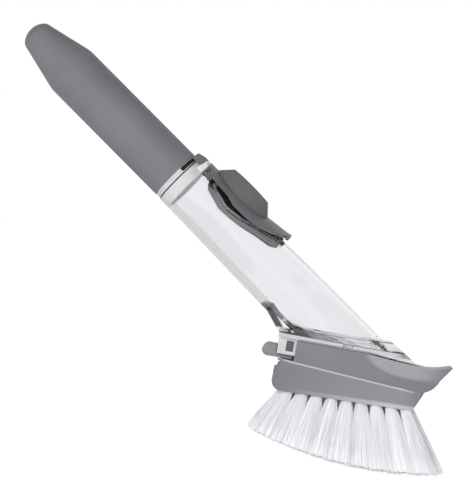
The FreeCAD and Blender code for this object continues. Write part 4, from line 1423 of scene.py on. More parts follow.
@dataclass
class Pump(SubAssembly):
    """Press lever with its thumb pad and pin, over the diaphragm in its frame.

    Attributes:
        lever_round: Rounding of the lever's edges.
        pad_round: Rounding of the thumb pad's edges.
        frame_round: Rounding of the frame's edges.
        frame_merge: Corners and edges of the frame that are shorter apart are merged.
        tip_widening: How much wider the lever's tip is drawn out round the axis.
        tip_reach: Stations where the widening starts and is full.
        tail_radius: Distance of the lever's tail from the axis.
        tail_round: How far the lever's tail is rounded down, and over which length.
        frame_ends: Start and end of each end of the frame that is rounded off.
        frame_turns: Angle at each of those ends, and how much more further in, in degrees.
        lip_place: Distance of the lip at the lever's tip from the axis, and its station.
        lip_radius: Radius of the lip.
        lip_turn: How far round the lip reaches to each side, in degrees.
        lip_sides: Corners round the lip, and along a full turn of it.
        lip_round: Rounding of the lip's ends.
        lip_crease: Edges of the lip sharper than this angle in degrees are rounded.
        start: Station of the diaphragm's rear end, from the handle's mouth.
        end: Station of its front end.
        tube_radius: The tube's radius at the diaphragm's two ends.
        thickness: Thickness of the diaphragm.
        edge_heights: Share along the diaphragm and height of its side edge over the axis.
        dome: How far the middle stands up.
        bead: Height of the bead beside the rim.
        bead_inset: Distance from the rim to the bead, as a share of the half width.
        bead_width: Width of the bead, as a share of the half width.
        bead_ends: Share of the half length over which the bead rises at each end.
        sink: Gap between the tube and the sheet.
        squash_level: Height over the axis that stays when the lever presses the diaphragm.
        squash_keep: Share of its height over that level that the pressed diaphragm keeps.
        rim_share: Share of the width inside which the rim is open.
        rim_ends: Share of the length that the rim takes at each end.
        rim_thickness: Thickness of the rim.
        columns: Faces along and across the diaphragm.
    """

    lever_round: float = 0.55 * MM
    pad_round: float = 0.7 * MM
    frame_round: float = 0.2 * MM
    frame_merge: Pair = (0.02 * MM, 0.01 * MM)
    tip_widening: float = 0.45
    tip_reach: Pair = (60.0 * MM, 64.5 * MM)
    tail_radius: float = 17.6 * MM
    tail_round: Pair = (1.2 * MM, 3.5 * MM)
    frame_ends: tuple[Pair, ...] = ((15.2 * MM, 24.0 * MM), (64.0 * MM, 56.5 * MM))
    frame_turns: tuple[Pair, ...] = ((40.0, 30.5), (36.0, 21.0))
    lip_place: Pair = (19.85 * MM, 64.4 * MM)
    lip_radius: float = 1.0 * MM
    lip_turn: float = 27.0
    lip_sides: tuple[int, int] = (14, 240)
    lip_round: float = 0.8 * MM
    lip_crease: float = 60.0
    start: float = 17.9 * MM
    end: float = 61.2 * MM
    tube_radius: Pair = (14.84 * MM, 15.68 * MM)
    thickness: float = 0.35 * MM
    edge_heights: tuple[Pair, ...] = (
        (0.0, 9.9 * MM), (0.13, 8.3 * MM), (0.30, 6.3 * MM),
        (0.52, 7.5 * MM), (0.70, 9.9 * MM), (1.0, 13.1 * MM),
    )
    dome: float = 0.35 * MM
    bead: float = 0.3 * MM
    bead_inset: float = 0.07
    bead_width: float = 0.03
    bead_ends: float = 0.15
    sink: float = 0.04 * MM
    squash_level: float = 6.3 * MM
    squash_keep: float = 0.9
    rim_share: float = 0.93
    rim_ends: float = 0.04
    rim_thickness: float = 0.2 * MM
    columns: tuple[int, int] = (64, 50)

    def build(self) -> None:
        """Rounds the lever, the pad and the frame, and shapes the diaphragm."""
        self.lever = Bench.moulding("press_lever", "lever_plate")
        Bench.soften(self.lever, self.lever_round)
        self.reshape(self.lever, self.drawn_out)
        fit(self.lever, Body.LEVER, Slot.LEVER, "press_lever")
        self.lip = self.lever_lip()
        fit(self.lip, Body.LEVER, Slot.LEVER)
        self.pad = Bench.moulding("thumb_pad", "thumb_rest")
        Bench.soften(self.pad, self.pad_round, steps=4)
        fit(self.pad, Body.LEVER, Slot.LEVER, "thumb_pad")
        self.frame = Bench.moulding("diaphragm_frame", "port_frame")
        self.reshape(self.frame, self.rounded_off)
        corners, edges = self.frame_merge
        with Bench.editing(self.frame, whole=True):
            bpy.ops.mesh.remove_doubles(threshold=corners)
            bpy.ops.mesh.dissolve_degenerate(threshold=edges)
        Bench.soften(self.frame, self.frame_round, steps=2)
        fit(self.frame, Body.RESERVOIR, Slot.CLEAR, "diaphragm_frame")
        self.diaphragm = self.shaped_diaphragm()
        fit(self.diaphragm, Body.RESERVOIR, Slot.RUBBER, "pump_diaphragm")
        middle = WAND.mouth + (self.start + self.end) / 2
        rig.squash(
            self.diaphragm, "lever_press", WAND.lever_side,
            WAND.axis * middle + WAND.lever_side * self.squash_level, self.squash_keep,
        )
        self.rim = self.shaped_rim()
        fit(self.rim, Body.RESERVOIR, Slot.CLEAR)

    def reshape(self, piece: Piece, change: Callable[[float, float, float], Pair]) -> None:
        """Moves a piece's corners round the wand's axis and towards it.

        Args:
            piece: The piece.
            change: Takes station, radius and angle of a corner, and gives its new radius and angle.
        """
        place = WAND.frame()
        back = place.inverted()
        for vertex in piece.data.vertices:
            local = back @ vertex.co
            angle = math.atan2(local.y, local.x)
            station, radius = local.z - WAND.mouth, math.hypot(local.x, local.y)
            radius, turn = change(station, radius, abs(angle))
            turn = math.copysign(turn, angle)
            vertex.co = place @ Vector((radius * math.cos(turn), radius * math.sin(turn), local.z))

    def drawn_out(self, station: float, radius: float, angle: float) -> Pair:
        """Widens the lever's tip and rounds its tail.

        Args:
            station: Distance from the handle's mouth.
            radius: Distance from the axis.
            angle: Angle from the lever's side.

        Returns:
            The new radius and angle.
        """
        drop, length = self.tail_round
        tail = 1 - station / length
        if tail > 0:
            radius = min(radius, self.tail_radius - drop * tail * tail)
        return radius, angle * (1 + self.tip_widening * eased(share_of(station, *self.tip_reach)))

    def rounded_off(self, station: float, radius: float, angle: float) -> Pair:
        """Rounds the corners at the frame's ends.

        Args:
            station: Distance from the handle's mouth.
            radius: Distance from the axis.
            angle: Angle from the lever's side.

        Returns:
            The same radius and the new angle.
        """
        for (end, inner), (least, more) in zip(self.frame_ends, self.frame_turns):
            share = (inner - station) / (inner - end)
            if share > 0:
                limit = least + more * math.sqrt(max(0.0, 1 - share * share))
                angle = min(angle, math.radians(limit))
        return radius, angle

    def lever_lip(self) -> Piece:
        """Turns the rolled lip along the lever's tip.

        Returns:
            The lip.
        """
        reach, station = self.lip_place
        across, along = self.lip_sides
        turns = [math.tau * step / across for step in range(across)]
        piece = Bench.lathe("lever_lip", [
            (
                reach + self.lip_radius * math.cos(turn),
                WAND.mouth + station + self.lip_radius * math.sin(turn),
            )
            for turn in turns
        ], along, closed=True)
        Bench.wedge(piece, -self.lip_turn, self.lip_turn)
        Bench.soften(piece, self.lip_round, steps=4, crease=self.lip_crease)
        Bench.settle(piece, WAND.frame())
        return piece

    def edge_height(self, share: float) -> float:
        """Height of the diaphragm's side edge over the axis, at a share of its length."""
        shares, heights = zip(*self.edge_heights)
        return float(np.interp(share, shares, heights))

    def wrapped(
        self, name: str, lift: Callable[[float, float], float],
        hole: Callable[[float, float], bool] | None = None,
    ) -> Piece:
        """Wraps a grid round the tube, over the port.

        Args:
            name: Name of the piece.
            lift: Takes the share along the port and the place across it, and gives the height
                over the tube.
            hole: Takes the same and says where the sheet is open, or None for a whole sheet.

        Returns:
            The sheet, without thickness.
        """
        along, across = self.columns
        Bench.clear()
        bpy.ops.mesh.primitive_grid_add(x_subdivisions=along, y_subdivisions=across, size=2.0)
        piece = Bench.named(name)
        if hole is not None:
            Bench.drop_faces(piece, [
                hole((face.center.x + 1) / 2, face.center.y) for face in piece.data.polygons
            ])
        for vertex in piece.data.vertices:
            share, side = (vertex.co.x + 1) / 2, vertex.co.y
            tube = between(*self.tube_radius, share)
            radius = tube + lift(share, side)
            turn = math.acos(self.edge_height(share) / tube) * side
            station = WAND.mouth + between(self.start, self.end, share)
            vertex.co = (radius * math.cos(turn), radius * math.sin(turn), station)
        return piece

    def thickened(self, piece: Piece, thickness: float) -> Piece:
        """Gives a wrapped sheet its thickness and puts it in its place.

        Args:
            piece: The sheet.
            thickness: Its thickness.

        Returns:
            The same piece.
        """
        Bench.modify(piece, "SOLIDIFY", thickness=thickness, offset=1.0)
        with Bench.editing(piece, whole=True):
            bpy.ops.mesh.normals_make_consistent(inside=False)
        Bench.settle(piece, WAND.frame())
        Bench.smooth(piece, Bench.TURNED)
        return piece

    def shaped_diaphragm(self) -> Piece:
        """Shapes the soft sheet, with a bead along its edge and a low dome.

        Returns:
            The diaphragm.
        """
        def lift(share: float, side: float) -> float:
            """Low over the edge, raised at the bead and in the middle.

            Args:
                share: Share of the length.
                side: Place across, from -1 to 1.

            Returns:
                The height over the tube.
            """
            inner = min(share, 1 - share) * 2
            middle = max(0.0, 1 - (2 * share - 1) ** 2) * max(0.0, 1 - side ** 2)
            off = (abs(side) - self.rim_share + self.bead_inset) / self.bead_width
            bead = self.bead * math.exp(-(off ** 2)) * min(1.0, inner / self.bead_ends)
            return self.sink + self.dome * middle ** 2 + bead

        return self.thickened(self.wrapped("soft_diaphragm", lift), self.thickness)

    def shaped_rim(self) -> Piece:
        """Shapes the thin clear rim that clamps the diaphragm's edge; its milky white also gives a painted highlight
        along the frame's edge.

        Returns:
            The rim.
        """
        def level(share: float, side: float) -> float:
            """On top of the diaphragm all along."""
            return self.sink + self.thickness

        def clamped(share: float, side: float) -> bool:
            """Whether a place lies inside the rim."""
            return abs(side) < self.rim_share and self.rim_ends < share < 1 - self.rim_ends

        return self.thickened(self.wrapped("diaphragm_rim", level, clamped), self.rim_thickness)

    def dress(self, finishes: Finishes) -> None:
        """Gives lever, pad, pin, frame and diaphragm their finishes.

        Args:
            finishes: The wand's finishes.
        """
        for piece in (self.lever, self.lip):
            dress(piece, finishes.lever)
        dress(self.pad, finishes.pad)
        dress(self.frame, finishes.smoked)
        # The rim's milky white is partly a painted highlight along the frame's edge.
        dress(self.rim, finishes.milky)
        # Black rubber, dark partly as its own colour and partly as painted shade for the gap under the lever.
        dress(self.diaphragm, finishes.rubber)
        dress(NODES["lever_pin"], finishes.steel)


@dataclass(frozen=True)
class RolledRim:
    """A rim of the block that is rolled in, with a painted highlight along it.

    Attributes:
        heights: Height of the rim at the block's rear and front, from the top of the head.
        way: 1 for a rim that looks up, -1 for one that looks down.
        width: How far the rolling reaches from the rim.
        depth: How far the rim itself goes in.
        fade: Where along the head the rolling begins and is full.
        ENDS: Where along the head the block's rear and front are.
        STEPS: Cuts across the rolling.
        GLEAM: How much sooner the rim's painted highlight is full than the rim is rolled in.
    """

    ENDS: ClassVar[Pair] = (-31.2 * MM, 34.4 * MM)
    STEPS: ClassVar[int] = 5
    GLEAM: ClassVar[float] = 3.0

    heights: Pair
    way: float
    width: float
    depth: float
    fade: Pair

    def point(self) -> Vector:
        """A point on the rim, from the top of the head."""
        return Vector((self.ENDS[0], 0.0, self.heights[0]))

    def normal(self) -> Vector:
        """The way that the rim looks."""
        rise = (self.heights[1] - self.heights[0]) / (self.ENDS[1] - self.ENDS[0])
        return Vector((-rise, 0.0, 1.0)).normalized() * self.way

    def cuts(self) -> list[Plane]:
        """The planes that part the rolling into steps.

        Returns:
            A point on each plane and its normal.
        """
        steps = [self.width * step / self.STEPS for step in range(1, self.STEPS + 1)]
        return [
            (WAND.deck_point() + self.point() - self.normal() * step, self.normal())
            for step in steps
        ]

    def at(self, place: Vector) -> Pair:
        """How far the skin goes in at a place, and how strong the painted highlight is there.

        Args:
            place: The place, from the top of the head.

        Returns:
            The depth in metres, and the painted highlight from 0 to 1.
        """
        share = share_of((place - self.point()).dot(self.normal()), -self.width, 0.0)
        begun = share_of(place.x, *self.fade)
        inset = self.depth * (1 - math.sqrt(1 - share * share)) * begun
        return inset, begun * min(1.0, share * self.GLEAM)


@dataclass
class BrushHead(SubAssembly):
    """Carrier with its scraper lip, release tongue and brush block.

    Attributes:
        carrier_round: Rounding of the carrier's edges.
        tongue_round: Rounding of the tongue's edges.
        block_round: Rounding of the block's small edges.
        rims: The rims along the block's sides.
        front_tone: How much lighter the block is painted at its front than at its rear.
        front_reach: Where along the head that starts and is full.
        skin: Distance from the middle plane beyond which a face is the outer skin.
        skin_look: How much such a face has to look sideways.
        scoop_middle: Middle of the scoop in each side, along and above the top of the head.
        scoop_reach: Half length and half height of the scoop.
        scoop_depth: Depth of the scoop.
        scoop_edge: Share of its reach over which the scoop runs out.
        scoop_fade: Where the scoop begins and ends to fade towards the lip.
        scoop_step: Distance between cuts along and across the scoop.
    """

    carrier_round: float = 0.4 * MM
    tongue_round: float = 0.5 * MM
    block_round: float = 0.35 * MM
    rims: tuple[RolledRim, ...] = (
        RolledRim(
            heights=(-10.5 * MM, -14.7 * MM), way=1.0, width=1.1 * MM, depth=0.5 * MM,
            fade=(-34.0 * MM, -30.0 * MM),
        ),
        RolledRim(
            heights=(-26.55 * MM, -24.95 * MM), way=-1.0, width=2.6 * MM, depth=1.0 * MM,
            fade=(-22.0 * MM, -4.0 * MM),
        ),
    )
    front_tone: float = 0.2
    front_reach: Pair = (-30.0 * MM, 36.0 * MM)
    skin: float = 12.9 * MM
    skin_look: float = 0.12
    scoop_middle: Pair = (34.0 * MM, 0.4 * MM)
    scoop_reach: Pair = (27.0 * MM, 10.8 * MM)
    scoop_depth: float = 1.5 * MM
    scoop_edge: float = 0.18
    scoop_fade: Pair = (36.0 * MM, 53.0 * MM)
    scoop_step: Pair = (0.9 * MM, 0.5 * MM)

    def build(self) -> None:
        """Shapes the three mouldings of the head."""
        self.carrier = Bench.moulding("head_carrier", "carrier_shell")
        Bench.soften(self.carrier, self.carrier_round)
        # The scoop is pressed in and takes a painted sheen.
        self.press(self.carrier, self.scoop_cuts(), self.scoop_at)
        fit(self.carrier, Body.HEAD, Slot.HEAD, "head_carrier")
        self.tongue = Bench.moulding("release_tongue", "tongue_and_tab")
        Bench.soften(self.tongue, self.tongue_round)
        fit(self.tongue, Body.TONGUE, Slot.HEAD, "release_tongue")
        self.block = Bench.moulding("brush_block", "tufted_block")
        Bench.soften(self.block, self.block_round)
        self.press(self.block, [cut for rim in self.rims for cut in rim.cuts()], self.rims_at)
        fit(self.block, Body.HEAD, Slot.HEAD, "brush_block")

    def skin_faces(self, piece: Piece) -> list[bool]:
        """Which faces of a moulding are its outer skin.

        Args:
            piece: The moulding.

        Returns:
            One answer for each face.
        """
        return [
            abs(face.center.y) > self.skin
            and face.normal.y * math.copysign(1.0, face.center.y) > self.skin_look
            for face in piece.data.polygons
        ]

    def press(self, piece: Piece, cuts: Sequence[Plane], form: Callable[[Vector], Pair]) -> None:
        """Presses a form into both sides of a moulding and marks where it takes a painted highlight.

        Args:
            piece: The moulding.
            cuts: The planes along which its skin is parted first.
            form: Takes a place from the top of the head, and gives depth and painted highlight there.
        """
        for point, normal in cuts:
            with Bench.editing(piece, self.skin_faces(piece)):
                bpy.ops.mesh.bisect(plane_co=point, plane_no=normal)
        deck, mesh = WAND.deck_point(), piece.data
        faces = zip(mesh.polygons, self.skin_faces(piece))
        corners = {corner for face, outer in faces if outer for corner in face.vertices}
        highlight_share = mesh.attributes.new(MouldedPlastic.POLISH, "FLOAT", "POINT")
        for corner in corners:
            place = mesh.vertices[corner].co
            depth, highlight_share.data[corner].value = form(place - deck)
            place.y -= math.copysign(depth, place.y)
        Bench.smooth(piece, Bench.CREASE)

    def rims_at(self, place: Vector) -> Pair:
        """How far the block's rolled rims go in, and how much painted light and painted highlight the block takes.

        Args:
            place: The place, from the top of the head.

        Returns:
            The depth in metres, and the painted lightness from 0 to 1.
        """
        depths, gleams = zip(*(rim.at(place) for rim in self.rims))
        # Painted light growing towards the front, and the rims' painted highlights.
        front = self.front_tone * share_of(place.x, *self.front_reach)
        return sum(depths), max(front, *gleams)

    def scoop_cuts(self) -> list[Plane]:
        """The planes that part the carrier's sides round the scoop.

        Returns:
            A point on each plane and its normal.
        """
        deck, middle = WAND.deck_point(), self.scoop_middle
        (length, height), (along, up) = self.scoop_reach, self.scoop_step
        cuts = [
            (Vector((deck.x + middle[0] + place, 0.0, 0.0)), Vector((1.0, 0.0, 0.0)))
            for place in np.arange(-length, length, along)
        ]
        return cuts + [
            (Vector((0.0, 0.0, deck.z + middle[1] + place)), Vector((0.0, 0.0, 1.0)))
            for place in np.arange(-height, 0.0, up)
        ]

    def scoop_at(self, place: Vector) -> Pair:
        """Depth of the scoop at a place on the skin, and how much painted sheen it takes.

        Args:
            place: The place, from the top of the head.

        Returns:
            The depth in metres, and as a share of the full depth, which is also the share of painted sheen.
        """
        along = (place.x - self.scoop_middle[0]) / self.scoop_reach[0]
        up = (place.z - self.scoop_middle[1]) / self.scoop_reach[1]
        share = share_of(1 - math.hypot(along, up), 0.0, self.scoop_edge)
        fade = share_of(place.x, *reversed(self.scoop_fade))
        depth = eased(share) * eased(fade)
        return self.scoop_depth * depth, depth

    def dress(self, finishes: Finishes) -> None:
        """Gives the three mouldings their finishes.

        Args:
            finishes: The wand's finishes.
        """
        dress(self.carrier, finishes.scooped)
        dress(self.tongue, finishes.head)
        dress(self.block, finishes.block)


@dataclass(frozen=True)
class Bundle:
    """The line and the size of one tuft.

    Attributes:
        base: Where its filaments start, inside the hole.
        way: Its direction.
        first: The direction along the row, square to it.
        length: Length of its filaments.
        spread: Half widths of its end, along the row and across it.
        slope: How much longer it gets along the row.
    """

    base: Vector
    way: Vector
    first: Vector
    length: float
    spread: Pair
    slope: float

    def point(self, x: float, y: float, share: float) -> Vector:
        """A point of the bundle.

        Args:
            x: Distance from the middle along the row.
            y: Distance from the middle across the row.
            share: Share of the way to the end.

        Returns:
            The point.
        """
        along = self.length * share + x * self.slope * share
        return self.base + self.first * x + self.way.cross(self.first) * y + self.way * along


class Sheaf:
    """A row of tufts under construction, made of copies of a few models."""

    def __init__(self) -> None:
        """Starts empty."""
        self.points: list[Vector] = []
        self.faces: list[tuple[int, ...]] = []
        self.along: list[float] = []
        self.tones: list[float] = []

    def put(
        self, model: Piece, place: Callable[[float, float, float], Vector], tone: float,
    ) -> None:
        """Adds a bent copy of a model.

        Args:
            model: The straight model, of unit length and radius.
            place: Takes a corner of the model and gives the copy's corner.
            tone: The copy's own shade, from 0 to 1.
        """
        offset = len(self.points)
        for vertex in model.data.vertices:
            self.points.append(place(*vertex.co))
            self.along.append(vertex.co.z)
            self.tones.append(tone)
        for face in model.data.polygons:
            self.faces.append(tuple(offset + corner for corner in face.vertices))

    def piece(self, name: str) -> Piece:
        """Makes the row an object.

        Args:
            name: Name of the piece.

        Returns:
            The row as one mesh.
        """
        mesh = bpy.data.meshes.new(name)
        mesh.from_pydata(self.points, [], self.faces)
        for mark, values in ((NylonFilament.ALONG, self.along), (NylonFilament.STRAND, self.tones)):
            mesh.attributes.new(mark, "FLOAT", "POINT").data.foreach_set("value", values)
        return linked(name, mesh)


@dataclass
class Tufts(SubAssembly):
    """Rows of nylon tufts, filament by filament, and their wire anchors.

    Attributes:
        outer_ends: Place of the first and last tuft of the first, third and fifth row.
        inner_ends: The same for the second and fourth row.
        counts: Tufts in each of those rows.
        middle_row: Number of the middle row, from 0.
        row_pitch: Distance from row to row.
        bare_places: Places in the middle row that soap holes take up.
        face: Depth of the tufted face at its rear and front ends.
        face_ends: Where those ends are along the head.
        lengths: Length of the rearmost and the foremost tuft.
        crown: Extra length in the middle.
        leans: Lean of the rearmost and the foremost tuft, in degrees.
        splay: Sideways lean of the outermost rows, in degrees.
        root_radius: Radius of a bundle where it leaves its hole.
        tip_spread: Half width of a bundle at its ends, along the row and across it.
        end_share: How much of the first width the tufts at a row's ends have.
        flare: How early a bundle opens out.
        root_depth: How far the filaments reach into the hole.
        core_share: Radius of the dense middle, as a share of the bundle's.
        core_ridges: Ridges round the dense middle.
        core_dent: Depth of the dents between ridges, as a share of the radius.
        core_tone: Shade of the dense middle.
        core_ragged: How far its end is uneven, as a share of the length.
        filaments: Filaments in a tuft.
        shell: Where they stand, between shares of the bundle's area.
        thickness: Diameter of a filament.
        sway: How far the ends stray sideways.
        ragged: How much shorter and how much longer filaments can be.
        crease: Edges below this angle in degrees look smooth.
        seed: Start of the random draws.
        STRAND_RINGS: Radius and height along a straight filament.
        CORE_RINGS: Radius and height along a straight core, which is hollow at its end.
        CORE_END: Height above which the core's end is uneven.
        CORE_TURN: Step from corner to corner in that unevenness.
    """

    STRAND_RINGS: ClassVar[tuple[Ring, ...]] = (
        (1.0, 0.0), (1.0, 0.25), (0.97, 0.5), (0.93, 0.75), (0.85, 0.97), (0.5, 1.0),
    )
    CORE_RINGS: ClassVar[tuple[Ring, ...]] = (
        (1.0, 0.0), (1.0, 0.08), (1.0, 0.16), (1.0, 0.24), (1.0, 0.34), (1.0, 0.46),
        (1.0, 0.58), (1.0, 0.7), (1.0, 0.84), (1.0, 0.98), (0.55, 0.94),
    )
    CORE_END: ClassVar[float] = 0.95
    CORE_TURN: ClassVar[float] = 2.4

    outer_ends: Pair = (-26.6 * MM, 34.2 * MM)
    inner_ends: Pair = (-28.8 * MM, 36.2 * MM)
    counts: tuple[int, int] = (9, 10)
    middle_row: int = 2
    row_pitch: float = 6.4 * MM
    bare_places: tuple[int, ...] = (2, 4, 6)
    face: Pair = (-26.7 * MM, -25.0 * MM)
    face_ends: Pair = (-31.2 * MM, 37.5 * MM)
    lengths: Pair = (25.6 * MM, 34.8 * MM)
    crown: float = 2.3 * MM
    leans: Pair = (-21.0, 28.0)
    splay: float = 10.0
    root_radius: float = 2.0 * MM
    tip_spread: Pair = (8.0 * MM, 5.0 * MM)
    end_share: float = 0.72
    flare: float = 1.35
    root_depth: float = 2.5 * MM
    core_share: float = 0.97
    core_ridges: int = 17
    core_dent: float = 0.03
    core_tone: float = 0.4
    core_ragged: float = 0.012
    filaments: int = 140
    shell: Pair = (0.84, 1.1)
    thickness: float = 0.3 * MM
    sway: float = 1.2 * MM
    ragged: Pair = (-0.8 * MM, 0.28 * MM)
    crease: float = 55.0
    seed: int = 11

    def build(self) -> None:
        """Grows the five rows."""
        strand, core = self.strand(), self.dense_core()
        self.rows = []
        for row in range(2 * self.middle_row + 1):
            draw = random.Random(self.seed + row)
            sheaf = Sheaf()
            for bundle in self.bundles(row):
                sheaf.put(core, self.packed(bundle), self.core_tone)
                for _ in range(self.filaments):
                    sheaf.put(strand, self.loose(bundle, draw), draw.random())
            piece = sheaf.piece(f"bristle_row_{row + 1}")
            Bench.smooth(piece, self.crease)
            fit(piece, Body.HEAD, Slot.NYLON, f"tuft_row_{row + 1}")
            self.rows.append(piece)
        bpy.data.objects.remove(strand)
        bpy.data.objects.remove(core)

    def strand(self) -> Piece:
        """Models one straight filament of unit length and radius.

        Returns:
            The filament that all others copy.
        """
        piece = Bench.lathe("strand", self.STRAND_RINGS, sides=4)
        Bench.close_ends(piece)
        return piece

    def dense_core(self) -> Piece:
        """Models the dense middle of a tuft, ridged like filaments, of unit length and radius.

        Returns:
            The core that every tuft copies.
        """
        piece = Bench.lathe("core", self.CORE_RINGS, self.core_ridges * 2)
        for number, vertex in enumerate(piece.data.vertices):
            dent = 1 - self.core_dent * (number % 2)
            vertex.co.x *= dent
            vertex.co.y *= dent
            if vertex.co.z > self.CORE_END:
                vertex.co.z += self.core_ragged * math.sin(number * self.CORE_TURN)
        Bench.close_ends(piece)
        return piece

    def opened(self, share: float, spread: Pair) -> Pair:
        """Half widths of a bundle.

        Args:
            share: Share of the bundle's length.
            spread: Half widths at its ends.

        Returns:
            The half widths along the row and across it.
        """
        grown = 1 - (1 - min(1.0, share)) ** self.flare
        wide, deep = (between(self.root_radius, width, grown) for width in spread)
        return wide, deep

    def packed(self, bundle: Bundle) -> Callable[[float, float, float], Vector]:
        """How the core lies in a bundle.

        Args:
            bundle: The bundle.

        Returns:
            Takes a corner of the straight core and gives its place.
        """
        def place(x: float, y: float, share: float) -> Vector:
            """The corner's place in the bundle."""
            wide, deep = self.opened(share, bundle.spread)
            return bundle.point(x * wide * self.core_share, y * deep * self.core_share, share)

        return place

    def loose(self, bundle: Bundle, draw: random.Random) -> Callable[[float, float, float], Vector]:
        """How one filament lies in a bundle.

        Args:
            bundle: The bundle.
            draw: The random draws.

        Returns:
            Takes a corner of the straight filament and gives its place.
        """
        angle, out = draw.uniform(0, math.tau), math.sqrt(draw.uniform(*self.shell))
        spot_x, spot_y = math.cos(angle) * out, math.sin(angle) * out
        reach = 1 + draw.uniform(*self.ragged) / bundle.length
        sway_x, sway_y = (draw.uniform(-self.sway, self.sway) for _ in range(2))
        half = self.thickness / 2

        def place(x: float, y: float, share: float) -> Vector:
            """The corner's place in the bundle."""
            wide, deep = self.opened(share, bundle.spread)
            return bundle.point(
                spot_x * wide + sway_x * share * share + x * half,
                spot_y * deep + sway_y * share * share + y * half, share * reach,
            )

        return place

    def tuft(self, x: float, row: int) -> tuple[Vector, Vector, float]:
        """A tuft at a place of a row.

        Args:
            x: Place along the head.
            row: Number of the row, from 0.

        Returns:
            Its root on the block's face, its direction and its length.
        """
        across = row - self.middle_row
        share = (x - self.inner_ends[0]) / (self.inner_ends[1] - self.inner_ends[0])
        lean = math.radians(between(*self.leans, share))
        side = math.radians(self.splay * across / self.middle_row)
        way = Vector((math.tan(lean), math.tan(side), -1.0)).normalized()
        rear, front = self.face_ends
        depth = between(*self.face, (x - rear) / (front - rear))
        root = WAND.deck_point() + Vector((x, self.row_pitch * across, depth))
        return root, way, between(*self.lengths, share) + self.crown * 4 * share * (1 - share)

    def bundles(self, row: int) -> Iterator[Bundle]:
        """The tufts of one row.

        Args:
            row: Number of the row, from 0.

        Yields:
            Each tuft's bundle.
        """
        inner = row % 2
        ends = self.inner_ends if inner else self.outer_ends
        count = self.counts[inner]
        for place in range(count):
            if row == self.middle_row and place in self.bare_places:
                continue
            x = between(*ends, place / (count - 1))
            root, way, length = self.tuft(x, row)
            first = (Vector((1.0, 0.0, 0.0)) - way * way.x).normalized()
            near, far = (self.tuft(x + step * MM, row) for step in (-1, 1))
            line = (far[0] + far[1] * far[2]) - (near[0] + near[1] * near[2])
            width = self.end_share if place in (0, count - 1) else 1.0
            yield Bundle(
                root - way * self.root_depth, way, first, length + self.root_depth,
                spread=(self.tip_spread[0] * width, self.tip_spread[1]),
                slope=line.dot(way) / line.dot(first),
            )

    def dress(self, finishes: Finishes) -> None:
        """Gives the rows and the anchors their finishes.

        Args:
            finishes: The wand's finishes.
        """
        for piece in self.rows:
            dress(piece, finishes.nylon)
        dress(NODES["tuft_anchors"], finishes.steel)


@dataclass(frozen=True)
class Lamp:
    """One soft box.

    Attributes:
        name: Name of the lamp.
        place: Where it hangs, in metres from the aim.
        size: Width and height of the box.
        power: Strength in watts.
        mirrored: Whether gloss and clear plastic show the box.
    """

    name: str
    place: tuple[float, float, float]
    size: float
    power: float
    mirrored: bool = True


@dataclass(frozen=True)
class Flag:
    """A black flag that keeps stray light off the handle.

    Attributes:
        name: Name of the flag.
        place: Distance along the wand's axis and towards the lever's side, from the grip's middle.
        facing: The way that it looks, along the axis and towards the lever's side.
        size: Width and height.
    """

    name: str
    place: Pair
    facing: Pair
    size: float


@dataclass(frozen=True)
class Card:
    """A curved grey card round the tube, which only clear edges and gloss pick up.

    Attributes:
        name: Name of the card.
        side: 1 for the lever's side of the tube, -1 for the other.
        tone: How bright the card is.
    """

    name: str
    side: float
    tone: float


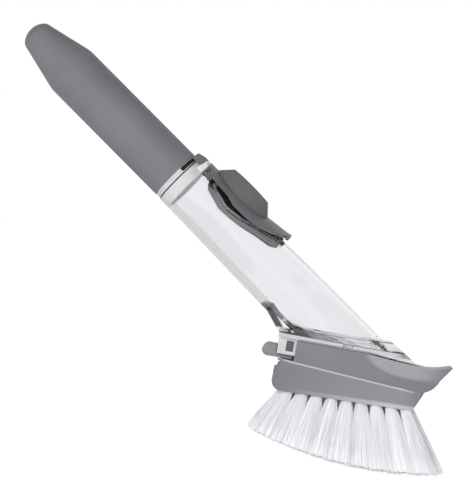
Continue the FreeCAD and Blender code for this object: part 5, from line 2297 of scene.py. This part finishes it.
@dataclass
class Studio:
    """Camera, lamps, flags, cards, floor and white surroundings.

    Attributes:
        aim: Point that the camera looks at.
        distance: Distance from the camera to that point.
        yaw: Turn of the camera towards the head's front, in degrees.
        pitch: How far the camera looks down, in degrees.
        roll: Turn of the picture, in degrees.
        focal: Focal length in pixels of the picture.
        picture: Width and height of the picture in pixels.
        clip: Distance from the camera at which things begin to show.
        ambient: Light from all round.
        floor_size: Width and length of the floor.
        floor_tone: How much of its light the floor sends back.
        floor_shadow: How much of the floor's look takes shadows.
        floor_glow: The rest of the floor's look, plain white.
        lamps: The soft boxes.
        flags: The black flags beside the handle.
        cards: The grey cards, which together go all round the tube.
        card_radius: Distance of the cards from the wand's axis.
        card_length: Length of the cards.
        card_sides: Corners round both cards.
        card_middle: Station of the cards' middle along the axis.
        card_split: Where the cards meet, from the axis towards the lever's side.
    """

    aim: tuple[float, float, float] = (70.65 * MM, 0.0, -55.1 * MM)
    distance: float = 1.0436
    yaw: float = 2.5
    pitch: float = 0.0
    roll: float = 10.19
    focal: float = 2000.0
    picture: tuple[int, int] = (475, 500)
    clip: float = 0.01
    ambient: float = 0.45
    floor_size: float = 30.0
    floor_tone: float = 0.82
    floor_shadow: float = 0.16
    floor_glow: float = 0.93
    lamps: tuple[Lamp, ...] = (
        Lamp("key_box", (-0.25, -0.85, 0.05), size=0.5, power=5.8, mirrored=False),
        Lamp("fill_box", (0.6, -0.55, 0.05), size=0.6, power=0.3),
        Lamp("rim_box", (0.4, 0.5, 0.5), size=0.4, power=0.8),
        Lamp("back_box", (0.0, 0.85, 0.03), size=0.5, power=4.4, mirrored=False),
    )
    flags: tuple[Flag, ...] = (
        Flag("lever_flag", place=(-10.0 * MM, 110.0 * MM), facing=(0.0, 1.0), size=0.22),
        Flag("tip_flag", place=(-150.0 * MM, 0.0), facing=(1.0, 0.0), size=0.22),
    )
    cards: tuple[Card, ...] = (
        Card("lower_card", side=-1.0, tone=0.68), Card("upper_card", side=1.0, tone=0.92),
    )
    card_radius: float = 95.0 * MM
    card_length: float = 260.0 * MM
    card_sides: int = 96
    card_middle: float = 100.0 * MM
    card_split: float = -30.0 * MM

    def build(self) -> None:
        """Sets up the whole studio."""
        bpy.context.scene.view_settings.view_transform = "Standard"
        self.stand_camera()
        for lamp in self.lamps:
            self.hang(lamp)
        for flag in self.flags:
            self.hold(flag)
        self.lay_floor()
        for card in self.cards:
            self.stand(card)
        self.light_world()

    def stand_camera(self) -> None:
        """Stands the camera at the photograph's viewing angle."""
        lens = bpy.data.cameras.new("photo_camera")
        lens.sensor_fit = "VERTICAL"
        lens.lens = self.focal * lens.sensor_height / self.picture[1]
        lens.clip_start = self.clip
        camera = linked("photo_camera", lens)
        turn = (
            Matrix.Rotation(math.radians(self.yaw), 4, "Z")
            @ Matrix.Rotation(math.radians(90.0 - self.pitch), 4, "X")
            @ Matrix.Rotation(math.radians(self.roll), 4, "Z")
        )
        back = turn @ Vector((0.0, 0.0, self.distance))
        camera.matrix_world = Matrix.Translation(Vector(self.aim) + back) @ turn
        bpy.context.scene.camera = camera

    def hang(self, lamp: Lamp) -> None:
        """Hangs one soft box, turned to the aim.

        Args:
            lamp: The soft box.
        """
        light = bpy.data.lights.new(lamp.name, "AREA")
        light.energy = lamp.power
        light.size = lamp.size
        holder = linked(lamp.name, light)
        if not lamp.mirrored:
            self.hide(holder, Ray.GLOSSY, Ray.TRANSMISSION)
        away = Vector(lamp.place)
        holder.matrix_world = facing(Vector(self.aim) + away, away)

    @staticmethod
    def hide(piece: Piece, *rays: Ray) -> None:
        """Hides a thing from some kinds of light."""
        for ray in rays:
            setattr(piece, ray.value, False)

    def hold(self, flag: Flag) -> None:
        """Holds a black flag that only soft light from all round meets.

        Args:
            flag: The flag.
        """
        Bench.clear()
        bpy.ops.mesh.primitive_plane_add(size=flag.size)
        piece = Bench.named(flag.name)
        Bench.settle(piece, facing(WAND.slanted(*flag.place), WAND.slanted(*flag.facing)))
        sheet = ShaderSheet(flag.name)
        sheet.set(Base_Color=(0.0, 0.0, 0.0, 1.0), Specular_IOR_Level=0.0)
        dress(piece, sheet.material)
        self.hide(piece, Ray.CAMERA, Ray.GLOSSY, Ray.TRANSMISSION, Ray.SHADOW)
        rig.stage(piece)

    def lay_floor(self) -> None:
        """Lays a pale floor under the bristles that keeps a light shadow."""
        lowest = min(CAD_BOX[0][2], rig.bounds()[0][2])
        Bench.clear()
        bpy.ops.mesh.primitive_plane_add(size=self.floor_size, location=(0.0, 0.0, lowest))
        floor = Bench.named("floor")
        material = bpy.data.materials.new("pale_floor")
        sheet = NodeSheet(material)
        seen = sheet.seen_directly()
        plain, glow = sheet.add("ShaderNodeBsdfDiffuse"), sheet.add("ShaderNodeEmission")
        tone = sheet.spread(seen, self.floor_tone, self.floor_shadow)
        sheet.join(tone, plain.inputs["Color"])
        sheet.join(sheet.spread(seen, 0.0, self.floor_glow), glow.inputs["Strength"])
        both = sheet.add("ShaderNodeAddShader")
        sheet.join(plain.outputs["BSDF"], both.inputs[0])
        sheet.join(glow.outputs["Emission"], both.inputs[1])
        sheet.show(both.outputs["Shader"])
        dress(floor, material)
        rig.stage(floor)

    def stand(self, card: Card) -> None:
        """Stands one grey card.

        Args:
            card: The card.
        """
        Bench.clear()
        bpy.ops.mesh.primitive_cylinder_add(
            vertices=self.card_sides, radius=self.card_radius, depth=self.card_length,
            end_fill_type="NOTHING",
        )
        piece = Bench.named(card.name)
        Bench.trim(piece, (self.card_split, 0.0, 0.0), (-card.side, 0.0, 0.0))
        Bench.settle(piece, Matrix.Translation(WAND.axis * self.card_middle) @ WAND.frame())
        material = bpy.data.materials.new(card.name)
        sheet = NodeSheet(material)
        glow = sheet.add("ShaderNodeEmission")
        glow.inputs["Color"].default_value = (card.tone, card.tone, card.tone, 1.0)
        sheet.show(glow.outputs["Emission"])
        dress(piece, material)
        self.hide(piece, Ray.CAMERA, Ray.DIFFUSE, Ray.SHADOW)
        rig.stage(piece)

    def light_world(self) -> None:
        """Surrounds the wand with white, and with softer light for its shading."""
        world = bpy.data.worlds.new("white_surroundings")
        bpy.context.scene.world = world
        sheet = NodeSheet(world)
        sky = sheet.add("ShaderNodeBackground")
        sky.inputs["Color"].default_value = (1.0, 1.0, 1.0, 1.0)
        sheet.join(sheet.spread(sheet.seen_directly(), self.ambient, 1.0), sky.inputs["Strength"])
        sheet.show(sky.outputs["Background"], "ShaderNodeOutputWorld")


def write_sizes() -> None:
    """Writes the frame's box and the dressed model's box."""
    boxes = {
        "cad": [list(corner) for corner in CAD_BOX],
        "visual": [list(corner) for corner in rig.bounds()],
    }
    with open(SIZE_FILE, "w", encoding="utf-8") as file:
        json.dump(boxes, file)


def main() -> None:
    """Builds every sub-assembly, dresses it and sets up the studio."""
    logging.basicConfig(level=logging.INFO, format="%(name)s: %(message)s")
    finishes = Finishes()
    for group in (Handle(), Reservoir(), Pump(), BrushHead(), Tufts()):
        group.build()
        group.dress(finishes)
        LOG.info("%s is dressed", type(group).__name__)
    Studio().build()
    write_sizes()


if __name__ == "__main__":
    main()
